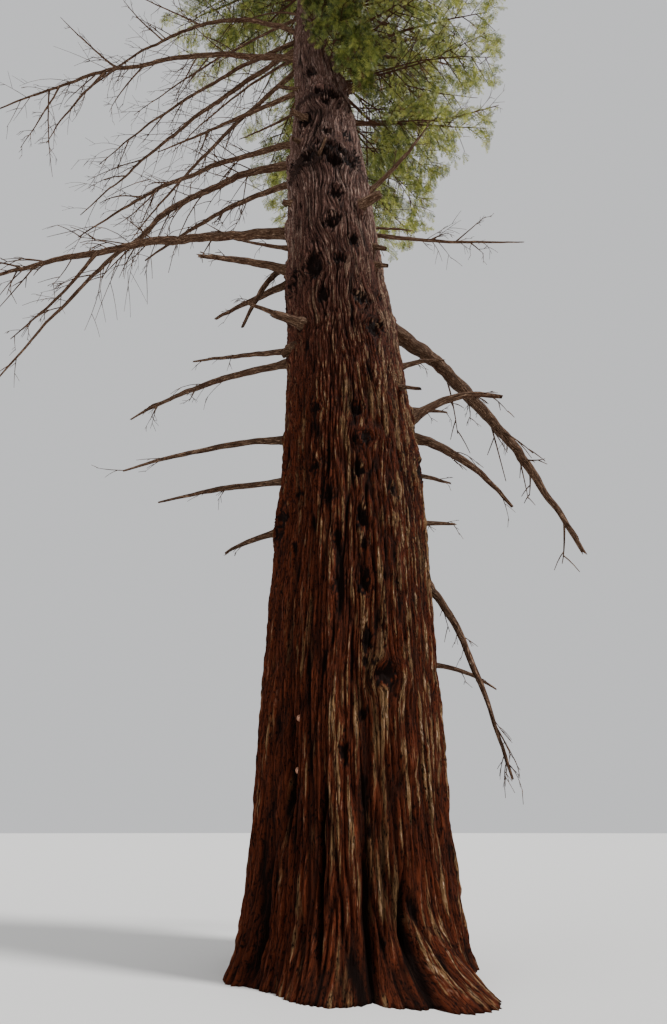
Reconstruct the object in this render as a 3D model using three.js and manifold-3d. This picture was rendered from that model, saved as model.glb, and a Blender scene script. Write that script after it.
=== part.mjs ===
// A coast redwood, whole and rooted in level ground: one leaning, fluted trunk, bare dead
// limbs on its lower two thirds, and a live crown of boughs that end in masses of sprays.
// Millimetres, +Z up. The origin is the middle of the flat cut under the trunk, at ground
// level, and -Y is the tree's front. Every size is of the tree at five sixths of life, so
// that its 48 m stand 40 m tall. An azimuth is in degrees from +X towards +Y.
import * as THREE from 'three';
import Module from 'manifold-3d';

const wasm = await Module();
wasm.setup();

const DEGREE = Math.PI / 180;
const SEAT_GAP = 0.3;
const BARK_CUT = 0.35;

// Trunk, by height: [height, diameter over the bark, lean of the axis towards +X]
const TRUNK_STATIONS = [
  [0, 2500, 0], [3000, 2480, 30], [6000, 2400, 90], [9000, 2220, 0], [12000, 2080, -180],
  [15000, 1900, -350], [18000, 1520, -480], [21000, 1110, -770], [24000, 830, -950],
  [27000, 590, -1050], [31000, 400, -1130], [35000, 240, -1180], [39300, 44, -1200],
];
const TRUNK_TOP = 39300;
const TREE_TOP = 40000;
const TRUNK_SIDES = 28;
const FLARE_RINGS = [0, 140, 300, 520, 850, 1350];
const UPPER_RINGS = 22;

// Flutes run up the bole from the buttresses and fade with height
const FLUTES = 7;
const FLUTE_DEPTH = 0.045;
const FLUTE_FADE = 9000;
const FLUTE_TWIST = 0.035 / 1000;

// Root buttresses: [azimuth, spread beyond the bole, half width in degrees, height]
const BUTTRESSES = [
  [-58, 800, 24, 800], [-102, 300, 20, 800], [-145, 170, 22, 850], [176, 140, 24, 900],
  [134, 420, 22, 1100], [90, 400, 24, 1000], [46, 330, 22, 1100], [2, 120, 20, 800],
];
const FLARE_CURVE = 2.6;

// Bare limbs: [name, height on the trunk's axis where it leaves the bark, azimuth there,
// reach of its tip from the axis, slope in degrees at the bark and at the tip, diameter at
// the bark and at the broken tip, degrees that it swings round on its way]
const BARE_LIMBS = [
  ['limb_left_01', 5430, 185, 1960, -14, -38, 70, 24, 0],
  ['limb_left_02', 6560, 172, 3480, -1, -5, 78, 20, -3],
  ['limb_left_03', 7340, 178, 3790, 0, -30, 84, 20, 4],
  ['limb_left_04', 9330, 168, 4500, -2, -19, 104, 20, -3],
  ['limb_left_05', 9880, 155, 3500, 22, 0, 90, 24, 4],
  ['limb_left_06', 11700, 165, 2730, -17, -24, 112, 40, 0],
  ['limb_left_07', 11970, 174, 1840, -1, -78, 104, 44, 5],
  ['limb_left_08', 11500, 192, 2890, 8, -11, 140, 50, 0],
  ['limb_left_09', 13020, 180, 7400, 0, -26, 190, 50, 0],
  ['limb_left_10', 15260, 165, 4470, 3, -49, 130, 36, 3],
  ['limb_left_11', 15780, 175, 6700, 6, -68, 165, 26, 0],
  ['limb_left_12', 16880, 169, 6700, 2, -34, 138, 24, -2],
  ['limb_left_13', 19600, 160, 5100, 0, -12, 120, 24, 2],
  ['limb_left_14', 20950, 155, 6300, -29, -40, 122, 24, -3],
  ['limb_left_15', 21050, 180, 8600, 17, -46, 150, 26, 0],
  ['limb_left_16', 22650, 182, 6100, 42, -67, 126, 24, 0],
  ['limb_left_17', 22420, 166, 6700, -14, -41, 112, 22, -2],
  ['limb_left_18', 22060, 157, 7640, -2, -49, 140, 24, 2],
  ['limb_right_01', 4750, 12, 2220, -38, -78, 96, 26, 0],
  ['limb_right_02', 7450, 6, 2900, -10, -50, 140, 40, 4],
  ['limb_right_03', 7690, -8, 2750, 38, -24, 126, 50, 0],
  ['limb_right_04', 10100, 8, 4270, -33, -66, 240, 60, 3],
  ['limb_right_05', 13100, 6, 4540, -2, 11, 74, 20, 0],
  ['limb_right_06', 14000, -22, 2480, 34, 57, 110, 30, 0],
  ['limb_right_07', 19280, 0, 1620, 20, 40, 260, 120, 0],
].map(([name, height, azimuth, reach, rise, tipRise, thick, thin, swing]) => ({
  name, height, azimuth, reach, rise, tipRise, thick, thin, swing,
}));
const LIMB_SIDES = 6;
const LIMB_RINGS = 7;
const COLLAR_SWELL = 0.45;
const COLLAR_LENGTH = 0.07;
const ROOT_DEPTH = 0.5;
const LIMB_FOOT_SHARES = [0, 0.07, 0.2];
// How far to either side of a place its heading is read, as a share of the way
const NEARBY = 0.002;

// Crown. A shelf is the curved sheet that boughs of one height lie in: it leaves the trunk at
// that height, slopes with it and sags with the square of the distance out
const CROWN_BASE = 16400;
const SHELF_SLOPE_LOW = -0.06;
const SHELF_SLOPE_GAIN = 0.025 / 1000;
const SHELF_SAG = 0.014 / 1000;

// Reach of the crown from the trunk's axis, by shelf height: [height, reach]
const CROWN_REACH = [
  [16400, 3900], [19000, 5000], [23000, 5900], [26000, 5800], [29000, 5100], [33000, 3800],
  [36500, 2400], [38500, 1350], [40000, 500],
];

// Tiers of foliage from the bottom up: [name, shelf heights of the tier's floor and ceiling,
// azimuth of its first mass, degrees that each mass takes, masses, share of the way out that
// is a bare bough, 0 where the mass springs from the trunk itself]
const TIERS = [
  ['base', 16400, 19300, 2, 62, 2, 0.36], ['low', 19300, 22200, -18, 60, 3, 0.34],
  ['open', 22200, 25000, -26, 56, 3, 0.3], ['middle', 25000, 28300, 20, 72, 5, 0],
  ['high', 28300, 31600, 56, 72, 5, 0], ['upper', 31600, 34700, 10, 90, 4, 0],
  ['peak', 34700, 37500, 50, 120, 3, 0],
].map(([name, floor, ceiling, first, width, masses, bough]) => ({
  name, floor, ceiling, first, width, masses, bough,
}));
const MASS_TWIGS = 5;
const SPACE_MARGIN = 70;
const LIMB_MARGIN = 90;
const LIMB_CHECKS = 40;
const BARK_MARGIN = 90;
const BOUGH_GIRTH = 0.024;
const BOUGH_TIP_SHARE = 0.62;
const STEM_TIP_GIRTH = 30;
const STEM_SIDES = 4;
const STEM_RINGS = 5;
const TWIG_SIDES = 3;
const TWIG_GIRTH = [62, 30];
const TWIG_END = 24;
const TWIG_FREE_BARK = 300;
const TWIG_LAST = 0.86;
const ROOT_SHARE = 0.02;
const STEM_END = 0.93;
// Sprays on the stem itself: [share of the way out, droop, size]
const STEM_SPRAYS = [[STEM_END, 0.15, 0.9], [0.6, -0.5, 0.8]];

// A spray is a blade with two side teeth and a tip, thickest behind its teeth. The shares are
// of its length along it, and of its width across it
const SPRAY_LENGTH = 0.54;
const SPRAY_WIDTH = 0.78;
const SPRAY_THICKNESS = 0.026;
const SPRAY_OUTLINE = [[0, 0], [0.62, -0.5], [0.6, -0.17], [1, 0], [0.6, 0.17], [0.62, 0.5]];
const SPRAY_CREST = 0.27;
const SPRAY_SINK = 16;
const SPRAY_ROLL = 1.9;
const SPRAY_STRAY = 1.1;
const SPRAY_TRIES = 40;
const SPRAY_SHRINK = 0.75;
const END_DROOP = 0.4;
const MID_DROOP = 0.5;
const SPRAY_SEED = 500;
// A join that adds more faces than this cuts through another blade
const JOIN_FACES = 28;

const bark = new THREE.MeshStandardMaterial({ color: 0x6e4630, roughness: 0.95, metalness: 0 });
const deadWood = new THREE.MeshStandardMaterial({ color: 0x6a5a4c, roughness: 0.9, metalness: 0 });
const needles = new THREE.MeshStandardMaterial({ color: 0x55702f, roughness: 0.8, metalness: 0 });

// Smooth curve through a table's rows at a height: cubic, with the slope at each row taken
// from its neighbours
function along(table, column, height) {
  const last = table.length - 1;
  const at = Math.min(Math.max(height, table[0][0]), table[last][0]);
  let i = 0;
  while (i < last - 1 && at > table[i + 1][0]) i += 1;
  const slope = (k) => {
    const below = table[Math.max(k - 1, 0)];
    const above = table[Math.min(k + 1, last)];
    return (above[column] - below[column]) / (above[0] - below[0]);
  };
  const step = table[i + 1][0] - table[i][0];
  const t = (at - table[i][0]) / step;
  const start = table[i][column] * (2 * t ** 3 - 3 * t ** 2 + 1);
  const end = table[i + 1][column] * (3 * t ** 2 - 2 * t ** 3);
  return start + end + step * (slope(i) * (t ** 3 - 2 * t ** 2 + t) + slope(i + 1) * (t ** 3 - t ** 2));
}

// Angle from one heading to another, between minus and plus half a turn
function turnBetween(from, to) {
  return Math.atan2(Math.sin(to - from), Math.cos(to - from));
}

function seededRandom(seed) {
  let state = (seed * 7919 + 12345) >>> 0;
  return () => {
    state = (Math.imul(state, 1664525) + 1013904223) >>> 0;
    return state / 4294967296;
  };
}

function leanAt(height) {
  return along(TRUNK_STATIONS, 2, height);
}

// Distance of the bark from the trunk's axis: the bole's taper, its flutes and the root flare
function trunkRadius(height, angle) {
  const bole = along(TRUNK_STATIONS, 1, height) / 2;
  const flute = FLUTE_DEPTH * Math.exp(-height / FLUTE_FADE)
    * Math.cos(FLUTES * (angle + FLUTE_TWIST * height));
  let flare = 0;
  for (const [azimuth, spread, halfWidth, top] of BUTTRESSES) {
    if (height >= top) continue;
    const off = turnBetween(azimuth * DEGREE, angle) / (halfWidth * DEGREE);
    flare += spread * (1 - height / top) ** FLARE_CURVE * Math.exp(-off * off);
  }
  return bole * (1 + flute) + flare;
}

function middleOf(ring) {
  const sum = ring.reduce((total, p) => total.add(p), new THREE.Vector3());
  return sum.divideScalar(ring.length);
}

// Closed solid through rings of equal count, counter-clockwise seen from the last ring. Each
// end is a fan round its middle
function loft(rings) {
  const sides = rings[0].length;
  const ends = [middleOf(rings[0]), middleOf(rings[rings.length - 1])];
  const points = [...rings.flat(), ...ends].flatMap((p) => [p.x, p.y, p.z]);
  const faces = [];
  for (let r = 0; r + 1 < rings.length; r += 1) {
    for (let s = 0; s < sides; s += 1) {
      const low = r * sides + s;
      const lowNext = r * sides + ((s + 1) % sides);
      faces.push(low, lowNext, lowNext + sides, low, lowNext + sides, low + sides);
    }
  }
  const top = (rings.length - 1) * sides;
  const foot = top + sides;
  for (let s = 0; s < sides; s += 1) {
    const next = (s + 1) % sides;
    faces.push(foot, next, s);
    faces.push(foot + 1, top + s, top + next);
  }
  return solid(points, faces);
}

function solid(points, faces) {
  return new wasm.Manifold(new wasm.Mesh({
    numProp: 3,
    vertProperties: new Float32Array(points),
    triVerts: new Uint32Array(faces),
  }));
}

function trunkSolid(outset) {
  const heights = [...FLARE_RINGS];
  const base = FLARE_RINGS[FLARE_RINGS.length - 1];
  for (let i = 1; i <= UPPER_RINGS; i += 1) {
    heights.push(base + (TRUNK_TOP - base) * i / UPPER_RINGS);
  }
  return loft(heights.map((height) => {
    const ring = [];
    for (let s = 0; s < TRUNK_SIDES; s += 1) {
      const angle = s / TRUNK_SIDES * 2 * Math.PI;
      const radius = trunkRadius(height, angle) + outset;
      ring.push(new THREE.Vector3(
        leanAt(height) + radius * Math.cos(angle), radius * Math.sin(angle), height));
    }
    return ring;
  }));
}

// Tapering round limb along a route, a function that gives the point at each share of its way
function taperedLimb(route, shares, girthAt, sides) {
  return loft(shares.map((share) => {
    const centre = route(share);
    const heading = route(share + NEARBY).sub(route(share - NEARBY)).normalize();
    const side = new THREE.Vector3(heading.y, -heading.x, 0).normalize();
    const up = new THREE.Vector3().crossVectors(side, heading);
    const radius = girthAt(share) / 2;
    return Array.from({ length: sides }, (_, s) => {
      const turn = s / sides * 2 * Math.PI;
      return centre.clone()
        .addScaledVector(side, -radius * Math.cos(turn))
        .addScaledVector(up, radius * Math.sin(turn));
    });
  }));
}

function evenTurns(count) {
  return Array.from({ length: count }, (_, i) => i / count * 2 * Math.PI);
}

function evenShares(from, to, count) {
  return Array.from({ length: count }, (_, i) => from + (to - from) * i / (count - 1));
}

// Route of a bare limb: its slope turns evenly from rise to tipRise on the way out from the
// bark, and its heading swings round with the square of the way. A share below 0 runs
// straight in, under the bark
function bareRoute(limb) {
  const root = trunkRadius(limb.height, limb.azimuth * DEGREE);
  const span = limb.reach - root;
  const rise = Math.tan(limb.rise * DEGREE);
  const turn = Math.tan(limb.tipRise * DEGREE) - rise;
  const axis = leanAt(limb.height);
  return (share) => {
    const out = Math.max(share, 0);
    const radius = root + span * share;
    const angle = (limb.azimuth + limb.swing * out * out) * DEGREE;
    const height = limb.height + span * (rise * share + turn * out * out / 2);
    return new THREE.Vector3(
      axis + radius * Math.cos(angle), radius * Math.sin(angle), height);
  };
}

function bareLimb(limb) {
  const route = bareRoute(limb);
  const root = trunkRadius(limb.height, limb.azimuth * DEGREE);
  const inner = -root * ROOT_DEPTH / (limb.reach - root);
  const girthAt = (share) => {
    const taper = limb.thick + (limb.thin - limb.thick) * Math.max(share, 0);
    return taper * (1 + COLLAR_SWELL * Math.exp(-Math.max(share, 0) / COLLAR_LENGTH));
  };
  const outer = evenShares(0.2, 1, LIMB_RINGS - 3).slice(1);
  const shares = [inner, ...LIMB_FOOT_SHARES, ...outer];
  return taperedLimb(route, shares, girthAt, LIMB_SIDES);
}

function shelfSlope(shelf) {
  return SHELF_SLOPE_LOW + SHELF_SLOPE_GAIN * (shelf - CROWN_BASE);
}

function shelfPoint(shelf, radius, angle) {
  const height = shelf + shelfSlope(shelf) * radius - SHELF_SAG * radius * radius;
  return new THREE.Vector3(
    leanAt(height) + radius * Math.cos(angle), radius * Math.sin(angle), height);
}

// Place of a point in the crown: its shelf, its distance from the trunk's axis, its heading
function crownPlace(point) {
  const x = point.x - leanAt(point.z);
  const radius = Math.hypot(x, point.y);
  const level = point.z + SHELF_SAG * radius * radius;
  const lift = SHELF_SLOPE_LOW - SHELF_SLOPE_GAIN * CROWN_BASE;
  const shelf = (level - radius * lift) / (1 + radius * SHELF_SLOPE_GAIN);
  return { shelf, radius, angle: Math.atan2(point.y, x) };
}

function insideSpace(space, point) {
  const place = crownPlace(point);
  const off = Math.abs(turnBetween(space.azimuth * DEGREE, place.angle));
  const half = space.width * DEGREE / 2;
  const sideRoom = off < half ? place.radius * Math.sin(Math.min(half - off, Math.PI / 2)) : -1;
  return sideRoom > SPACE_MARGIN
    && place.shelf > space.floor + SPACE_MARGIN
    && place.shelf < space.ceiling - SPACE_MARGIN
    && place.radius < along(CROWN_REACH, 1, place.shelf)
    && place.radius > trunkRadius(point.z, place.angle) + BARK_MARGIN
    && point.z < TREE_TOP;
}

const limbPoints = BARE_LIMBS.flatMap((limb) => {
  const route = bareRoute(limb);
  return evenShares(0, 1, LIMB_CHECKS).map((share) => ({
    centre: route(share),
    room: limb.thick * (1 - share) / 2 + limb.thin * share / 2 + LIMB_MARGIN,
  }));
});

function clearOfLimbs(point) {
  return limbPoints.every(({ centre, room }) => centre.distanceTo(point) > room);
}

function spray(root, heading, roll, length) {
  const side = new THREE.Vector3(heading.y, -heading.x, 0).normalize()
    .applyAxisAngle(heading, roll);
  const face = new THREE.Vector3().crossVectors(side, heading);
  const place = (forward, across, up) => root.clone()
    .addScaledVector(heading, forward * length - SPRAY_SINK)
    .addScaledVector(side, across * length * SPRAY_WIDTH)
    .addScaledVector(face, up * length * SPRAY_THICKNESS / 2);
  const rim = SPRAY_OUTLINE.map(([forward, across]) => place(forward, across, 0));
  return { rim, top: place(SPRAY_CREST, 0, 1), under: place(SPRAY_CREST, 0, -1) };
}

function spraySolid({ rim, top, under }) {
  const count = rim.length;
  const faces = [];
  for (let i = 0; i < count; i += 1) {
    const next = (i + 1) % count;
    faces.push(next, i, count, i, next, count + 1);
  }
  return solid([...rim, top, under].flatMap((p) => [p.x, p.y, p.z]), faces);
}

// True where a blade lies wholly in its mass's space and touches no limb
function sprayFits(space, { rim, top }) {
  const outer = rim.slice(1);
  const middles = outer.map((p) => p.clone().lerp(top, 0.5));
  return outer.every((p) => insideSpace(space, p))
    && [...outer, ...middles, top].every(clearOfLimbs);
}

// A straight three-sided twig, thicker at its foot
function twigSolid(from, to) {
  const route = (share) => from.clone().lerp(to, share);
  const [thick, thin] = TWIG_GIRTH;
  return taperedLimb(route, [0, 1], (share) => thick + (thin - thick) * share, TWIG_SIDES);
}

// Stem of a mass, and the bough that carries it: one route along the shelf at mid tier
function stemRoute(space) {
  return (share) => {
    const angle = (space.azimuth + space.bend * share * share) * DEGREE;
    return shelfPoint(space.shelf, space.reach * share, angle);
  };
}

function stemGirth(space) {
  const thick = space.reach * BOUGH_GIRTH;
  const thin = space.bough > 0 ? thick * BOUGH_TIP_SHARE : thick;
  return (share) => {
    if (share <= space.bough) return thick + (thin - thick) * share / space.bough;
    return thin + (STEM_TIP_GIRTH - thin) * (share - space.bough) / (1 - space.bough);
  };
}

// Heading from one point to another, weighed down by its droop
function drooping(from, to, droop) {
  return to.clone().sub(from).normalize().add(new THREE.Vector3(0, 0, -droop)).normalize();
}

// Joins a spray to a mass at the first of its chances that fits: each is a little shorter and
// aims another way. A spray that fits nowhere is skipped
function growSpray(mass, space, chance, root, heading, size) {
  for (let attempt = 0; attempt < SPRAY_TRIES; attempt += 1) {
    const shorter = 1 - SPRAY_SHRINK * attempt / SPRAY_TRIES;
    const roll = (chance() - 0.5) * SPRAY_ROLL;
    const stray = new THREE.Vector3(chance() - 0.5, chance() - 0.5, chance() - 0.5);
    const aim = heading.clone().addScaledVector(stray, SPRAY_STRAY).normalize();
    const blade = spray(root, aim, roll, space.reach * SPRAY_LENGTH * size * shorter);
    if (!sprayFits(space, blade)) continue;
    const joined = mass.add(spraySolid(blade));
    if (joined.numTri() <= mass.numTri() + JOIN_FACES) return joined;
  }
  return mass;
}

// Twigs of a mass leave its stem left and right in turn, two high and two low, each for a
// point of its own near the edge of the mass's space. The shares are of the way out, of the
// sector's width and of the tier's height: [least, chance added]
const TWIG_OUTWARD = [0.1, 0.17];
const TWIG_ASIDE = [0.26, 0.12];
const TWIG_LIFT = [0.16, 0.16];
const TWIG_SIZE = [0.85, 0.25];

function massTwigs(space) {
  const random = seededRandom(space.seed);
  const draw = ([least, added]) => least + added * random();
  const route = stemRoute(space);
  const bare = (trunkRadius(space.shelf, 0) + TWIG_FREE_BARK) / space.reach;
  const first = Math.max(space.bough, bare);
  const twigs = [];
  for (let i = 0; i < MASS_TWIGS; i += 1) {
    const share = first + (TWIG_LAST - first) * (i + 0.3 + 0.4 * random()) / MASS_TWIGS;
    const side = i % 2 ? 1 : -1;
    const lift = i % 4 < 2 ? 1 : -1;
    const out = share + draw(TWIG_OUTWARD);
    const angle = space.azimuth + side * space.width * draw(TWIG_ASIDE);
    const band = (space.ceiling - space.floor) * draw(TWIG_LIFT);
    const to = shelfPoint(space.shelf + lift * band, space.reach * out, angle * DEGREE);
    const size = draw(TWIG_SIZE);
    if (insideSpace(space, to) && clearOfLimbs(to)) {
      twigs.push({ share, from: route(share), to, size });
    }
  }
  return twigs;
}

// A mass: its stem, its twigs with a spray at the end and one on the way, and sprays at the
// stem's tip and over its middle
function foliage(space) {
  const route = stemRoute(space);
  const chance = seededRandom(space.seed + SPRAY_SEED);
  const start = space.bough > 0 ? space.bough + SEAT_GAP / space.reach : ROOT_SHARE;
  const shares = evenShares(start, STEM_END, STEM_RINGS);
  let mass = taperedLimb(route, shares, stemGirth(space), STEM_SIDES);
  for (const { share, from, to, size } of massTwigs(space)) {
    const end = to.clone().addScaledVector(drooping(from, to, 0), -TWIG_END);
    const outward = drooping(from, route(share + 0.1), MID_DROOP);
    mass = mass.add(twigSolid(from, to));
    mass = growSpray(mass, space, chance, end, drooping(from, to, END_DROOP), size);
    mass = growSpray(mass, space, chance, from.clone().lerp(to, 0.5), outward, size);
  }
  for (const [share, droop, size] of STEM_SPRAYS) {
    const ahead = drooping(route(share - 0.05), route(share), droop);
    mass = growSpray(mass, space, chance, route(share - TWIG_END / space.reach), ahead, size);
  }
  return mass;
}

function bough(space) {
  const shares = [ROOT_SHARE, ...evenShares(2 * ROOT_SHARE, space.bough, LIMB_RINGS - 3)];
  return taperedLimb(stemRoute(space), shares, stemGirth(space), LIMB_SIDES);
}

function crownSpaces() {
  const spaces = [];
  for (const tier of TIERS) {
    for (let i = 0; i < tier.masses; i += 1) {
      const seed = spaces.length + 1;
      const random = seededRandom(seed);
      const shelf = tier.floor + (tier.ceiling - tier.floor) * (0.46 + 0.12 * random());
      spaces.push({
        ...tier,
        seed,
        shelf,
        name: `${tier.name}_${i + 1}`,
        azimuth: tier.first + tier.width * i,
        bend: (random() - 0.5) * 8,
        reach: along(CROWN_REACH, 1, shelf) * (0.9 + 0.08 * random()),
      });
    }
  }
  return spaces;
}

// Tuft round the leader above the trunk's tip: whorls of short sprays and one upright at the
// top. [share of the leader's height, sprays in the whorl, their size]
const TUFT_WHORLS = [[0.1, 4, 1], [0.5, 3, 0.8]];
const TUFT_SPRAY = 760;
const TUFT_RISE = 0.7;
const LEADER_FOOT = 0.35;

function crownTop() {
  const foot = new THREE.Vector3(leanAt(TRUNK_TOP), 0, TRUNK_TOP + SEAT_GAP);
  const tip = foot.clone().lerp(new THREE.Vector3(foot.x, 0, TREE_TOP), 1 - LEADER_FOOT);
  const girth = TRUNK_STATIONS[TRUNK_STATIONS.length - 1][1];
  const route = (share) => foot.clone().lerp(tip, share);
  let tuft = loft([foot.z, tip.z].map((height) => evenTurns(STEM_SIDES).map((turn) => (
    new THREE.Vector3(foot.x + girth / 2 * Math.cos(turn), girth / 2 * Math.sin(turn), height)))));
  for (const [share, count, size] of TUFT_WHORLS) {
    for (const turn of evenTurns(count)) {
      const heading = new THREE.Vector3(
        Math.cos(turn + share), Math.sin(turn + share), TUFT_RISE).normalize();
      tuft = tuft.add(spraySolid(spray(route(share), heading, 0, TUFT_SPRAY * size)));
    }
  }
  const root = tip.clone().setZ(tip.z - TWIG_END);
  const upright = spray(root, new THREE.Vector3(1e-3, 0, 1), 0, TREE_TOP - root.z + SPRAY_SINK);
  return tuft.add(spraySolid(upright));
}

// Largest of the bodies that a cut or a join leaves
function largest(shape) {
  return shape.decompose().reduce((a, b) => (b.volume() > a.volume() ? b : a));
}

const tree = new THREE.Group();

function addPiece(name, shape, material) {
  const mesh = shape.getMesh();
  const geometry = new THREE.BufferGeometry();
  geometry.setAttribute('position', new THREE.BufferAttribute(mesh.vertProperties, 3));
  geometry.setIndex(new THREE.BufferAttribute(mesh.triVerts, 1));
  geometry.computeVertexNormals();
  const piece = new THREE.Mesh(geometry, material);
  piece.name = name;
  tree.add(piece);
}

addPiece('trunk', trunkSolid(0), bark);
const barkClearance = trunkSolid(BARK_CUT);
for (const limb of BARE_LIMBS) {
  addPiece(limb.name, largest(bareLimb(limb).subtract(barkClearance)), deadWood);
}
for (const space of crownSpaces()) {
  if (space.bough > 0) {
    addPiece(`bough_${space.name}`, largest(bough(space).subtract(barkClearance)), bark);
  }
  addPiece(`foliage_${space.name}`, largest(foliage(space).subtract(barkClearance)), needles);
}
addPiece('foliage_top', largest(crownTop()), needles);

export default tree;
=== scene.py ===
"""A coast redwood, dressed over its measured frame: furrowed bark with knots and swirling grain,
bare dead limbs with their twigs, live boughs, and a crown of drooping needle sprays.

Metres, +Z up, the origin at ground level in the middle of the trunk's foot, -Y the tree's front.
An azimuth is in degrees from +X towards +Y."""

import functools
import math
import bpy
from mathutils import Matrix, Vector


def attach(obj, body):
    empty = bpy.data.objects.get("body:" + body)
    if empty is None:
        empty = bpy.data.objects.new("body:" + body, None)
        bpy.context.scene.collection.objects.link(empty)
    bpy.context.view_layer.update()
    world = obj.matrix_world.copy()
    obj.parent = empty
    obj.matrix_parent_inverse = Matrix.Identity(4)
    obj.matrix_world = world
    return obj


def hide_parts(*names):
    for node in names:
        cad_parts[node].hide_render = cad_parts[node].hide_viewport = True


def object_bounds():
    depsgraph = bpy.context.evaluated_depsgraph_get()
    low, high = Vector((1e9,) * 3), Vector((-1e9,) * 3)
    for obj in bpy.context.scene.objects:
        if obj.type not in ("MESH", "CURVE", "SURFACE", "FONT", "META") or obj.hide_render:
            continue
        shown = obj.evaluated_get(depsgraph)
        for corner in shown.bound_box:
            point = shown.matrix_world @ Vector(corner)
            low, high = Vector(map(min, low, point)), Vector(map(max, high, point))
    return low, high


bl_info = {
    "name": "Coast Redwood",
    "version": (1, 0, 0),
    "blender": (4, 5, 0),
    "location": "3D View > Sidebar > Redwood",
    "description": "Builds a coast redwood with furrowed bark, dead limbs and a live crown",
    "category": "Add Mesh",
}

from collections import namedtuple

import bpy
import numpy as np

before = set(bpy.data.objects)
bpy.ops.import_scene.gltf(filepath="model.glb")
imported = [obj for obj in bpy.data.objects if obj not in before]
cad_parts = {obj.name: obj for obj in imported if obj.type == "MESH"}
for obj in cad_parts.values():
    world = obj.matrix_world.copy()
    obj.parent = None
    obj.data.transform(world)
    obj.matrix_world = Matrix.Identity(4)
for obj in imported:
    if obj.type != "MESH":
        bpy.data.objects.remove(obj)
CAD_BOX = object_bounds()

TURN = 2 * math.pi
UP = np.array([0.0, 0.0, 1.0])
BOX_LOW = np.array(CAD_BOX[0])
BOX_HIGH = np.array(CAD_BOX[1])
BOX_MARGIN = 0.002

# Seed of each noise
SEEDS = {
    "sway": (1, 2), "ribs": 3, "creases": 4, "columns": 5, "flakes": 6, "ragged": 7, "torn": 8,
    "swing": (9, 10), "limb_waver": (11, 12, 13), "limb_kinks": (14, 15, 16), "knobs": 17,
    "strips": 18, "specks": 19, "splinters": 19, "threads": 20, "bough_waver": (21, 22, 23),
    "bough_knobs": 24, "tufts": 30, "clumps": 31, "strayed": 32, "clefts": 400,
}
# First seed of each kind of random draw
DRAWS = {
    "back_knots": 41, "forks": 200, "dead_twigs": 300, "shoots": 497, "leader": 498,
    "boughs": 500, "crown": 700, "needles": 900,
}

Limb = namedtuple("Limb", "name height azimuth reach rise tip_rise thick thin swing")
Fork = namedtuple("Fork", "limb seat azimuth length rise tip_rise thick")
Stub = namedtuple("Stub", "height azimuth heading length rise thick")
Mark = namedtuple("Mark", "height azimuth half_width half_height depth rim")
Bough = namedtuple("Bough", "shelf azimuth bend reach girth bare drift")

# Trunk, by height: height, diameter over the bark, lean of the axis towards +X
TRUNK_STATIONS = np.array([
    [0, 2.5, 0], [3, 2.48, 0.03], [6, 2.4, 0.09], [9, 2.22, 0], [12, 2.08, -0.18],
    [15, 1.9, -0.35], [18, 1.52, -0.48], [21, 1.11, -0.77], [24, 0.83, -0.95],
    [27, 0.59, -1.05], [31, 0.4, -1.13], [35, 0.24, -1.18], [39.3, 0.044, -1.2],
])
TRUNK_TOP = 39.3
# Waves round the bole: their number, depth at the ground as a share of the radius, height by which
# the depth has faded to a third, and turn for each metre of height
FLUTES = 7
FLUTE_DEPTH = 0.045
FLUTE_FADE = 9.0
FLUTE_TWIST = 0.035

# Root buttresses: azimuth, spread beyond the bole, half width in degrees, height
BUTTRESSES = [
    (-58, 0.8, 24, 0.8), (-102, 0.3, 20, 0.8), (-145, 0.17, 22, 0.85), (176, 0.14, 24, 0.9),
    (134, 0.42, 22, 1.1), (90, 0.4, 24, 1.0), (46, 0.33, 22, 1.1), (2, 0.12, 20, 0.8),
]
FLARE_CURVE = 2.6
# How far the bark lies inside the smooth trunk on its lower half, and the heights over which that
# sets in and ends
WAIST = 0.055
WAIST_IN = (0.2, 1.8)
WAIST_OUT = (17, 12)

# Bare limbs: height on the axis, azimuth at the bark, reach of the tip from the axis, slope in
# degrees at the bark and at the tip, diameter at the bark and at the tip, degrees it swings round
LEFT_LIMBS = [
    (5.43, 185, 1.96, -14, -38, 0.07, 0.024, 0), (6.56, 172, 3.48, -1, -5, 0.078, 0.02, -3),
    (7.34, 178, 3.79, 0, -30, 0.084, 0.02, 4), (9.33, 168, 4.5, -2, -19, 0.104, 0.02, -3),
    (9.88, 155, 3.5, 22, 0, 0.09, 0.024, 4), (11.7, 165, 2.73, -17, -24, 0.112, 0.04, 0),
    (11.97, 174, 1.84, -1, -78, 0.104, 0.044, 5), (11.5, 192, 2.89, 8, -11, 0.14, 0.05, 0),
    (13.02, 180, 7.4, 0, -26, 0.19, 0.05, 0), (15.26, 165, 4.47, 3, -49, 0.13, 0.036, 3),
    (15.78, 175, 6.7, 6, -68, 0.165, 0.026, 0), (16.88, 169, 6.7, 2, -34, 0.138, 0.024, -2),
    (19.6, 160, 5.1, 0, -12, 0.12, 0.024, 2), (20.95, 155, 6.3, -29, -40, 0.122, 0.024, -3),
    (21.05, 180, 8.6, 17, -46, 0.15, 0.026, 0), (22.65, 182, 6.1, 42, -67, 0.126, 0.024, 0),
    (22.42, 166, 6.7, -14, -41, 0.112, 0.022, -2), (22.06, 157, 7.64, -2, -49, 0.14, 0.024, 2),
]
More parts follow.
